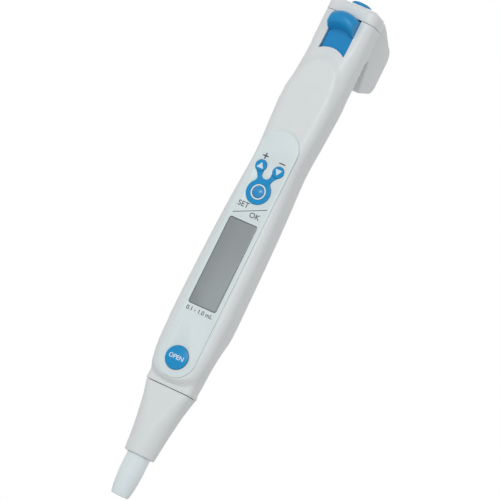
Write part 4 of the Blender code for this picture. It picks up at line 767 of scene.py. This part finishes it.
def display_glass():
    """Clear plastic over a switched-off display: grey-green, painted shade at its rim and left side, paler at
    its foot.
    """
    roughness = 0.16
    grey_green = (0.286, 0.313, 0.313)
    finish = Finish("display_glass", grey_green, roughness, Coat_Weight=0.5, Coat_Roughness=0.06)
    across = finish.coordinate(0)
    foot = NOZZLE_END.z + DISPLAY_LOW * MM
    up = (finish.coordinate(2) - foot) / ((DISPLAY_HIGH - DISPLAY_LOW) * MM)
    # The darker frame round the glass's sides and ends is painted shadow of the recess that the glass lies
    # in.
    rim = across.maths("ABSOLUTE", across).stretched(5.9 * MM, 6.4 * MM)
    ends = up.maths("ABSOLUTE", up - 0.5).stretched(0.478, 0.492)
    cell = finish.blend(up.stretched(0.0, 1.0), (0.318, 0.352, 0.352), (0.272, 0.298, 0.300))
    # Darker towards the left side: painted shade.
    cell = finish.blend(across.stretched(2 * MM, -7 * MM) * 0.6, cell, (0.225, 0.248, 0.250))
    edge = rim.maths("MAXIMUM", rim, ends) * 0.75
    finish.set(Base_Color=finish.blend(edge, cell, (0.205, 0.225, 0.228)))
    finish.set(Roughness=(finish.noise(300) - 0.5) * 0.06 + roughness)
    return finish.material


WINDOW_HALF = 6.65
WINDOW_LOW = 84.55
WINDOW_HIGH = 124.25
WINDOW_CORNER = 0.9
WINDOW_RIM = ((PANEL_BACK, 0.0), (-10.0, 0.0), (-10.14, 0.05), (-10.2, 0.2))
window_rings = []
for y, inset in WINDOW_RIM:
    corner = WINDOW_CORNER - inset / 2
    outline = rounded_box(WINDOW_HALF - inset, WINDOW_LOW + inset, WINDOW_HIGH - inset, corner)
    window_rings.append([(x, y, z) for x, z in outline])
show(loft(window_rings), "display_glass", display_glass(), "casing", "display_window")


def ink(name, colour):
    """Screen-printed ink, slightly uneven."""
    finish = Finish(name, colour, 0.45)
    finish.drift(finish.noise(900, detail=4, rough=0.6), 0.12)
    finish.set(Roughness=finish.noise(1500) * 0.2 + 0.35)
    return finish.material


INK_HALF = 0.012


def legend(name, words, size, x, z, material, body="casing", depth=PANEL_FACE, bold=0.03):
    """A thin printed legend, centred at a place on the front."""
    letters = bpy.data.curves.new(name, "FONT")
    letters.body = words
    letters.size = size
    letters.align_x = "CENTER"
    letters.align_y = "CENTER"
    letters.extrude = INK_HALF
    letters.offset = bold
    letters.resolution_u = 4
    drawn = bpy.data.objects.new(name, letters)
    bpy.context.scene.collection.objects.link(drawn)
    mesh = bpy.data.meshes.new_from_object(drawn.evaluated_get(bpy.context.evaluated_depsgraph_get()))
    bpy.data.objects.remove(drawn)
    form = bpy.data.objects.new(name, mesh)
    bpy.context.scene.collection.objects.link(form)
    form.data.transform(Matrix.Translation((x, depth - INK_HALF, z)) @ Matrix.Rotation(math.pi / 2, 4, "X"))
    return show(form, name, material, body)


DARK_INK = ink("dark_ink", (0.055, 0.062, 0.070))
SIGN_HEIGHT = 152.9
legend("legend_up", "+", 5.4, -KEY_SIDE, SIGN_HEIGHT, DARK_INK, bold=0.07)
legend("legend_down", "–", 5.4, KEY_SIDE, SIGN_HEIGHT, DARK_INK, bold=0.07)
legend("legend_set", "SET", 3.3, -3.6, 130.9, DARK_INK)
legend("legend_ok", "OK", 3.3, 3.3, 127.9, DARK_INK)
legend("legend_range", "0.1 - 1.0 mL", 2.6, 0.0, 82.3, DARK_INK)
stroke = [(-6.6, 126.4), (-6.35, 126.2), (7.35, 132.4), (7.1, 132.6)]
show(plate(stroke, PANEL_FACE, PANEL_FACE - 2 * INK_HALF), "legend_stroke", DARK_INK)


# The keypad: a thin blue bezel laid in the panel, two flat arrow keys, a domed key and its white ring.
# The keys are moulded with stems that reach through the casing to the snap domes on the board.
def turned(profile, place=(0.0, 0.0, 0.0), facing=False, steps=72):
    """A turned form: (radius, height) points, along the height or facing the front."""
    x, y, z = place
    build = bmesh.new()
    columns = []
    for radius, height in profile:
        spokes = circle((0.0, 0.0), radius, steps) if radius > 0 else [(0.0, 0.0)]
        if facing:
            points = [(x + a, -height, z + b) for a, b in spokes]
        else:
            points = [(x + a, y + b, height) for a, b in spokes]
        columns.append([build.verts.new(point) for point in points])
    pairs = list(zip(columns, columns[1:]))
    if profile[0][0] > 0:
        pairs.append((columns[-1], columns[0]))
    for first, second in pairs:
        for index in range(steps):
            after = (index + 1) % steps
            corners = [first[index % len(first)], first[after % len(first)]]
            corners += [second[after % len(second)], second[index % len(second)]]
            build.faces.new(list(dict.fromkeys(corners)))
    return form_of(build)


STRAIGHT = math.radians(155)


def rounded(points, radius, steps=4, closed=False):
    """An outline whose corners are rounded, as far as its sides allow."""
    result = []
    count = len(points)
    for index, corner in enumerate(points):
        here = Vector(corner)
        before, after = Vector(points[index - 1]) - here, Vector(points[(index + 1) % count]) - here
        ends = not closed and index in (0, count - 1)
        if ends or before.angle(after) > STRAIGHT:
            result.append(tuple(here))
            continue
        reach = min(radius / math.tan(before.angle(after) / 2), before.length * 0.45, after.length * 0.45)
        start, end = here + before.normalized() * reach, here + after.normalized() * reach
        for step in range(steps + 1):
            t = step / steps
            result.append(tuple(start * (1 - t) ** 2 + here * 2 * t * (1 - t) + end * t * t))
    return result


DOME_SHARES = (0.0, 0.12, 0.25, 0.38, 0.5, 0.62, 0.73, 0.82, 0.90)


def domed(radius, edge, rise, shares=DOME_SHARES):
    """Half section of a shallow dome, from its middle outwards."""
    return [(radius * share, edge + rise * (1 - share * share)) for share in shares]


KEY_BLUE = moulded("key_blue", (0.010, 0.285, 0.600), 0.30, grain=0.006, Specular_IOR_Level=0.25)
WHITE_RING = moulded("ring_white", (0.82, 0.86, 0.88), 0.35, grain=0.006)
BEZEL_FACE = 10.6
BEZEL_BACK = 10.1
BEZEL_HOLE = 3.5
BEZEL_CUT = (-12.0, -9.0)
bezel = plate(bezel_outline(0.0), -BEZEL_FACE, -BEZEL_BACK)
work(
    bezel,
    "DIFFERENCE",
    bar(BEZEL_HOLE, 0.0, MODE_HEIGHT, *BEZEL_CUT, 64),
    *key_bars(KEY_OPENING, *BEZEL_CUT),
)
show(soften(bezel, 0.14, 3, 50), "key_surround", KEY_BLUE, "casing", "key_bezel")

RING_OUTER = 3.35
RING_INNER = 2.75
MODE_PLACE = (0.0, 0.0, MODE_HEIGHT)
ring = [(RING_OUTER, BEZEL_FACE), (RING_OUTER, BEZEL_BACK)]
ring += [(RING_INNER, BEZEL_BACK), (RING_INNER, BEZEL_FACE)]
ring = turned(rounded(ring, 0.14, closed=True), MODE_PLACE, facing=True)
show(ring, "mode_key_ring", WHITE_RING, "casing", "mode_ring")

KEY_FACE = 10.7
KEY_RADIUS = 2.5
STEM = 1.1
STEM_END = 6.6
KEY_PROFILE = [(0.0, 10.62), (1.9, KEY_FACE), (KEY_RADIUS, KEY_FACE), (KEY_RADIUS, 9.5)]
KEY_PROFILE += [(STEM, 9.5), (STEM, STEM_END), (0.0, STEM_END)]
ARROW_REACH = 1.45
ARROW_HALF = 1.6
ARROW_KEYS = (("plus_key", -1, "up_key", "key_up"), ("minus_key", 1, "down_key", "key_down"))
for name, hand, body, node in ARROW_KEYS:
    key_x = hand * KEY_SIDE
    key = turned(rounded(KEY_PROFILE, 0.22), (key_x, 0.0, KEY_HEIGHT), facing=True)
    show(key, name, KEY_BLUE, body, node)
    apex = -hand * ARROW_REACH
    arrow = [(-ARROW_HALF, -apex * 0.8), (ARROW_HALF, -apex * 0.8), (0.0, apex)]
    arrow = [(key_x + x, KEY_HEIGHT + z) for x, z in rounded(arrow, 0.15, 3, closed=True)]
    show(plate(arrow, -10.66, -10.73), name + "_arrow", ink(name + "_ink", (0.62, 0.76, 0.86)), body)

MODE_RADIUS = 2.6
MODE_RISE = 0.7
crown = domed(MODE_RADIUS, KEY_FACE, MODE_RISE, (*DOME_SHARES, 0.96, 1.0))
stem = [(MODE_RADIUS, KEY_FACE), (MODE_RADIUS, 10.4), (STEM, 10.4), (STEM, STEM_END), (0.0, STEM_END)]
GLOSS_BLUE = moulded(
    "gloss_blue", (0.010, 0.270, 0.580), 0.26, grain=0.002, Coat_Weight=0.15, Coat_Roughness=0.15
)
mode_key = turned(crown + rounded(stem, 0.1)[1:], MODE_PLACE, facing=True)
show(mode_key, "mode_key", GLOSS_BLUE, "mode_key", "key_mode")


# The release button: a shallow blue dome of moulded plastic at the foot of the panel.
# Its stem pushes the steel latch ring out of the cylinder's groove, and a wave spring lifts it again.
RELEASE_RADIUS = 5.1
RELEASE_EDGE = 10.8
RELEASE_RISE = 0.6
RELEASE_STEM = 2.65
release_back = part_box("release_button")[1].y
release_end = (NOZZLE_END.y - release_back) / MM
rim = [(RELEASE_RADIUS * 0.95, 10.86), (RELEASE_RADIUS, RELEASE_EDGE), (RELEASE_RADIUS, 9.9)]
rim += [(RELEASE_STEM, 9.9), (RELEASE_STEM, release_end), (0.0, release_end)]
profile = domed(RELEASE_RADIUS, RELEASE_EDGE, RELEASE_RISE) + rounded(rim, 0.3, 5)
release = turned(profile, (0.0, 0.0, RELEASE_HEIGHT), facing=True, steps=96)
show(release, "release_key", KEY_BLUE, "release", "release_button")

# The legend is drawn flat and then laid on the dome.
WHITE_INK = ink("white_ink", (0.80, 0.86, 0.90))
mark = legend("legend_open", "OPEN", 2.7, 0.0, RELEASE_HEIGHT, WHITE_INK, "release", -10.82)
for vertex in mark.data.vertices:
    across = (vertex.co.x - NOZZLE_END.x) / MM
    up = (vertex.co.z - NOZZLE_END.z) / MM - RELEASE_HEIGHT
    vertex.co.y -= RELEASE_RISE * (1 - (across**2 + up**2) / RELEASE_RADIUS**2) * MM


# The ejector lever: a semi-gloss blue moulding with a lobe for the thumb and a skirt that fills the slot.
# An arm inside the head carries it on the steel rod; the lobe is bowed in plan and arched over its width.
LEVER_HALF = 6.0
LOBE_BOW = 14.0
LOBE_REACH = 7.8
LOBE_ARCH = 1.7
SKIRT_FRONT = 5.2
ROD_X = 7.6
ROD_Y = 2.6
ROD_HOLE = 1.15


def drawn_in(points, inset):
    """A closed outline drawn in along the normals of its corners."""
    turn = sum(a[0] * b[1] - b[0] * a[1] for a, b in zip(points, points[1:] + points[:1]))
    sign = 1 if turn > 0 else -1
    result = []
    for before, here, after in zip(points[-1:] + points[:-1], points, points[1:] + points[:1]):
        first = (Vector(here) - Vector(before)).normalized()
        second = (Vector(after) - Vector(here)).normalized()
        one, other = Vector((-first.y, first.x)), Vector((-second.y, second.x))
        shift = (one + other) * sign * inset / max(0.6, 1 + one.dot(other))
        result.append(tuple(Vector(here) + shift))
    return result


def lever_bend(x, y, z):
    """Set a point of the lobe back towards the sides and raise it in the middle; the skirt stays flat."""
    sag = (LOBE_BOW - math.sqrt(LOBE_BOW**2 - x * x)) * max(0.0, (-y - SKIRT_FRONT) / LOBE_REACH)
    rise = LOBE_ARCH * (2 / 3 - (x / LEVER_HALF) ** 2)
    start, width = (6.6, 1.4) if z > 219 else (4.9, 1.2)
    return x, y + sag, z + rise * smooth_step((-y - start) / width)


def round_side(edge, depth, inset, angles):
    """Places and insets that round off a form's left side, from its edge inwards."""
    side_angles = (*angles, math.pi / 2)
    return [(edge + depth * (1 - math.cos(angle)), inset * (1 - math.sin(angle))) for angle in side_angles]


def lever_form(outline, round_in=0.4, flat_steps=16):
    """The lever from its side outline of (y, z) points, rounded towards both sides and bent."""
    left = round_side(-LEVER_HALF, round_in, round_in, (0.0, 0.3, 0.6, 0.95, 1.3))
    inner = LEVER_HALF - round_in
    level = [(-inner + 2 * inner * step / flat_steps, 0.0) for step in range(1, flat_steps)]
    rings = []
    for x, inset in left + level + [(-x, inset) for x, inset in reversed(left)]:
        drawn = rounded(drawn_in(outline, inset), 0.4, closed=True)
        rings.append([lever_bend(x, y, z) for y, z in drawn])
    return loft(rings)


LEVER_BLUE = moulded("lever_blue", (0.012, 0.262, 0.570), 0.32, grain=0.008, Specular_IOR_Level=0.25)
lever_side = [(-3.6, 200.6), (-3.6, 221.2)]
lever_side += arc((-9.1, 217.3), 3.9, 90, 195, 16)
lever_side += arc((-11.9, 216.4), 0.9, 205, 245, 4)
lever_side += [(-8.9, 214.1), (-6.2, 214.0), (-SKIRT_FRONT, 213.5), (-SKIRT_FRONT, 200.6)]
lever = lever_form(lever_side)
work(
    lever,
    "UNION",
    slab((-4.0, -4.0, 207.1), (5.6, -0.4, 209.1)),
    slab((5.0, -3.2, 207.2), (9.4, 4.5, 209.0)),
)
work(lever, "DIFFERENCE", upright(ROD_HOLE, ROD_X, ROD_Y, 206.0, 211.0))
show(lever, "thumb_lever", LEVER_BLUE, "ejector", "eject_lever", 35)


# The operating button and the cap: a blue push button held by its flange in the pale grey cap.
# Cap and finger hook are one moulding that closes the head and takes the pipette's weight when it hangs.
BUTTON_Y = 2.0
BUTTON_RADIUS = 4.6
BUTTON_FALL = 1.1
FLANGE_RADIUS = 5.6
FLANGE_TOP = 225.7
FLANGE_FOOT = 223.9
BUTTON_TIP = 218.6


def button_profile():
    """Half section of the operating button, from the middle of its top down to its tip."""
    shares = (0.0, 0.15, 0.3, 0.45, 0.58, 0.7, 0.8, 0.88)
    crown = [(BUTTON_RADIUS * share, FULL_HEIGHT - BUTTON_FALL * share**5) for share in shares]
    body = [(BUTTON_RADIUS * 0.94, 229.19), (BUTTON_RADIUS, 228.7), (BUTTON_RADIUS, FLANGE_TOP)]
    body += [(FLANGE_RADIUS, FLANGE_TOP), (FLANGE_RADIUS, FLANGE_FOOT)]
    body += [(1.5, FLANGE_FOOT), (1.5, BUTTON_TIP), (0.0, BUTTON_TIP)]
    return crown + rounded(body, 0.3)


button = turned(button_profile(), (0.0, BUTTON_Y, 0.0))
show(button, "push_button", LEVER_BLUE, "button", "operation_button")

HEAD_ROW = (11.7, 6.6, 11.4, 4.0, 8.8)
cap_steps = [(221.68, 0.12), (221.72, 0.04), (221.8, 0.0), (223.4, 0.0)]
for angle in range(0, 91, 6):
    turn = math.radians(angle)
    cap_steps.append((225.0 + 3.0 * math.sin(turn) ** 0.8, 4.6 * (1 - math.cos(turn) ** 0.8)))
cap = loft([section((height, *HEAD_ROW), inset) for height, inset in cap_steps])

# The hook's root follows the casing's own form, which is drawn up past its top and into the cap.
for vertex in outside.data.vertices:
    if vertex.co.z > CASING_TOP - 1.4:
        vertex.co.z = max(vertex.co.z, CASING_TOP) + 2.5
root = work(slab((-FAR, ROOT_FRONT, ROOT_FOOT + 0.2), (FAR, FAR, 223.8)), "INTERSECT", outside)

HOOK_HALF = 9.5
HOOK_ROOT = 11.9
hook_side = [(8.4, 227.4), (11.2, 227.0), (16.0, 225.7), (25.5, 221.8)]
hook_side += arc((25.9, 214.9), 6.6, 62, 6, 12)
hook_side += arc((28.1, 203.9), 4.4, 0, -80, 14)
hook_side += [(19.0, 196.8), (17.9, 197.2), (17.6, 198.1), (12.8, 209.6), (9.1, 209.6), (9.1, 224.8)]
hook_side = rounded(hook_side, 1.2, closed=True)
hook_middle = Vector((sum(y for y, z in hook_side), sum(z for y, z in hook_side))) / len(hook_side)


def hook_point(x, y, z, inset):
    """A point of the hook, drawn in towards its middle; its root is only drawn down at the top."""
    if y > HOOK_ROOT:
        spoke = Vector((y, z)) - hook_middle
        return x, *(hook_middle + spoke * (1 - inset / spoke.length))
    if z > hook_middle.y:
        z -= inset * 0.5
    return x, y, z


left = round_side(-HOOK_HALF, 1.0, 0.9, (0.0, 0.25, 0.5, 0.75, 1.0, 1.25))
level = [(x, 0.0) for x in (-4.5, -2.2, 0.0, 2.2, 4.5)]
hook_steps = left + level + [(-x, inset) for x, inset in reversed(left)]
hook = loft([[hook_point(x, y, z, inset) for y, z in hook_side] for x, inset in hook_steps])
work(cap, "UNION", root, hook)

CAP_BORE = 4.9
hollow_steps = ((219.8, WALL), (224.8, WALL), (226.0, WALL + 1.0))
hollow = loft([section((height, *HEAD_ROW), inset) for height, inset in hollow_steps])
work(hollow, "INTERSECT", slab((-FAR, -FAR, 211.8), (FAR, ROOT_FRONT, 227.8)))
work(cap, "DIFFERENCE", hollow, upright(CAP_BORE, 0.0, BUTTON_Y, 224.0, 229.8, 72))
work(cap, "UNION", *(upright(1.0, x, 6.0, 214.6, 226.8) for x in (-6.2, 6.2)))
show(soften(cap, 0.15, 2, 45), "cap_and_hook", CASING_PLASTIC, "casing", "top_cap")


# The nozzle and the ejector sleeve: a glossy natural-white tip cone, and the pale grey sleeve over it.
# The cone is smooth so that tips seal on it; the sleeve goes from round at its foot to the casing's form.
NOZZLE_PLASTIC = moulded(
    "nozzle_plastic", (0.76, 0.82, 0.83), 0.20, grain=0.004, Coat_Weight=0.2, Coat_Roughness=0.10
)
cone = [(2.6, 0.0), (3.75, 0.0), (4.02, 0.6), (4.26, 1.8), (4.48, 2.96), (4.67, 4.2), (4.82, 5.55)]
cone += [(4.95, 6.8), (5.05, 7.96), (5.14, 9.3), (5.2, 10.55), (5.2, 18.0), (5.2, 25.5)]
cone += [(4.7, 25.5), (4.7, 19.8), (3.2, 19.8), (1.6, 18.8), (1.6, 6.4), (2.6, 6.0)]
show(turned(rounded(cone, 0.25, closed=True)), "tip_cone", NOZZLE_PLASTIC, "casing", "nozzle")
dress(moulded("filter_felt", (0.84, 0.84, 0.81), 0.85, grain=0.10), "nozzle_filter")

SLEEVE_FOOT = 18.5
SLEEVE_LENGTH = 30.3
SLEEVE_WALL = 1.3
SLEEVE_BOSS = 2.0

# Each row: share of the sleeve's length, then the same measures as a row of the casing.
SLEEVE_SHARES = (
    (0.0, 6.7, 6.7, 6.7, 6.5, 6.5),
    (0.33, 7.6, 7.2, 7.3, 6.8, 6.8),
    (0.56, 8.4, 7.0, 7.2, 5.8, 6.2),
    (0.76, 9.2, 6.6, 7.1, 4.5, 5.6),
    (0.90, 10.0, 6.4, 7.1, 3.4, 5.1),
    (1.0, 10.6, 6.2, 7.1, 2.6, 4.8),
)
sleeve_rows = [(SLEEVE_FOOT + SLEEVE_LENGTH * share, *rest) for share, *rest in SLEEVE_SHARES]
sleeve = loft([section(row, inset) for row, inset in rimmed(eased(sleeve_rows, 0.7), 0.35, 0.12)])
sleeve_outside = copy_of(sleeve)
inner_rows = [(SLEEVE_FOOT - 1.0, *sleeve_rows[0][1:]), *eased(sleeve_rows, 2.0)]
inner_rows.append((49.5, *sleeve_rows[-1][1:]))
work(sleeve, "DIFFERENCE", loft([section(row, SLEEVE_WALL) for row in inner_rows]))
boss = work(upright(SLEEVE_BOSS, ROD_X, ROD_Y, 39.37, 47.9), "INTERSECT", sleeve_outside)
work(sleeve, "UNION", boss)
work(sleeve, "DIFFERENCE", upright(ROD_HOLE, ROD_X, ROD_Y, 42.0, 49.5))
show(sleeve, "ejector_sleeve", CASING_PLASTIC, "ejector", "eject_sleeve", 35)
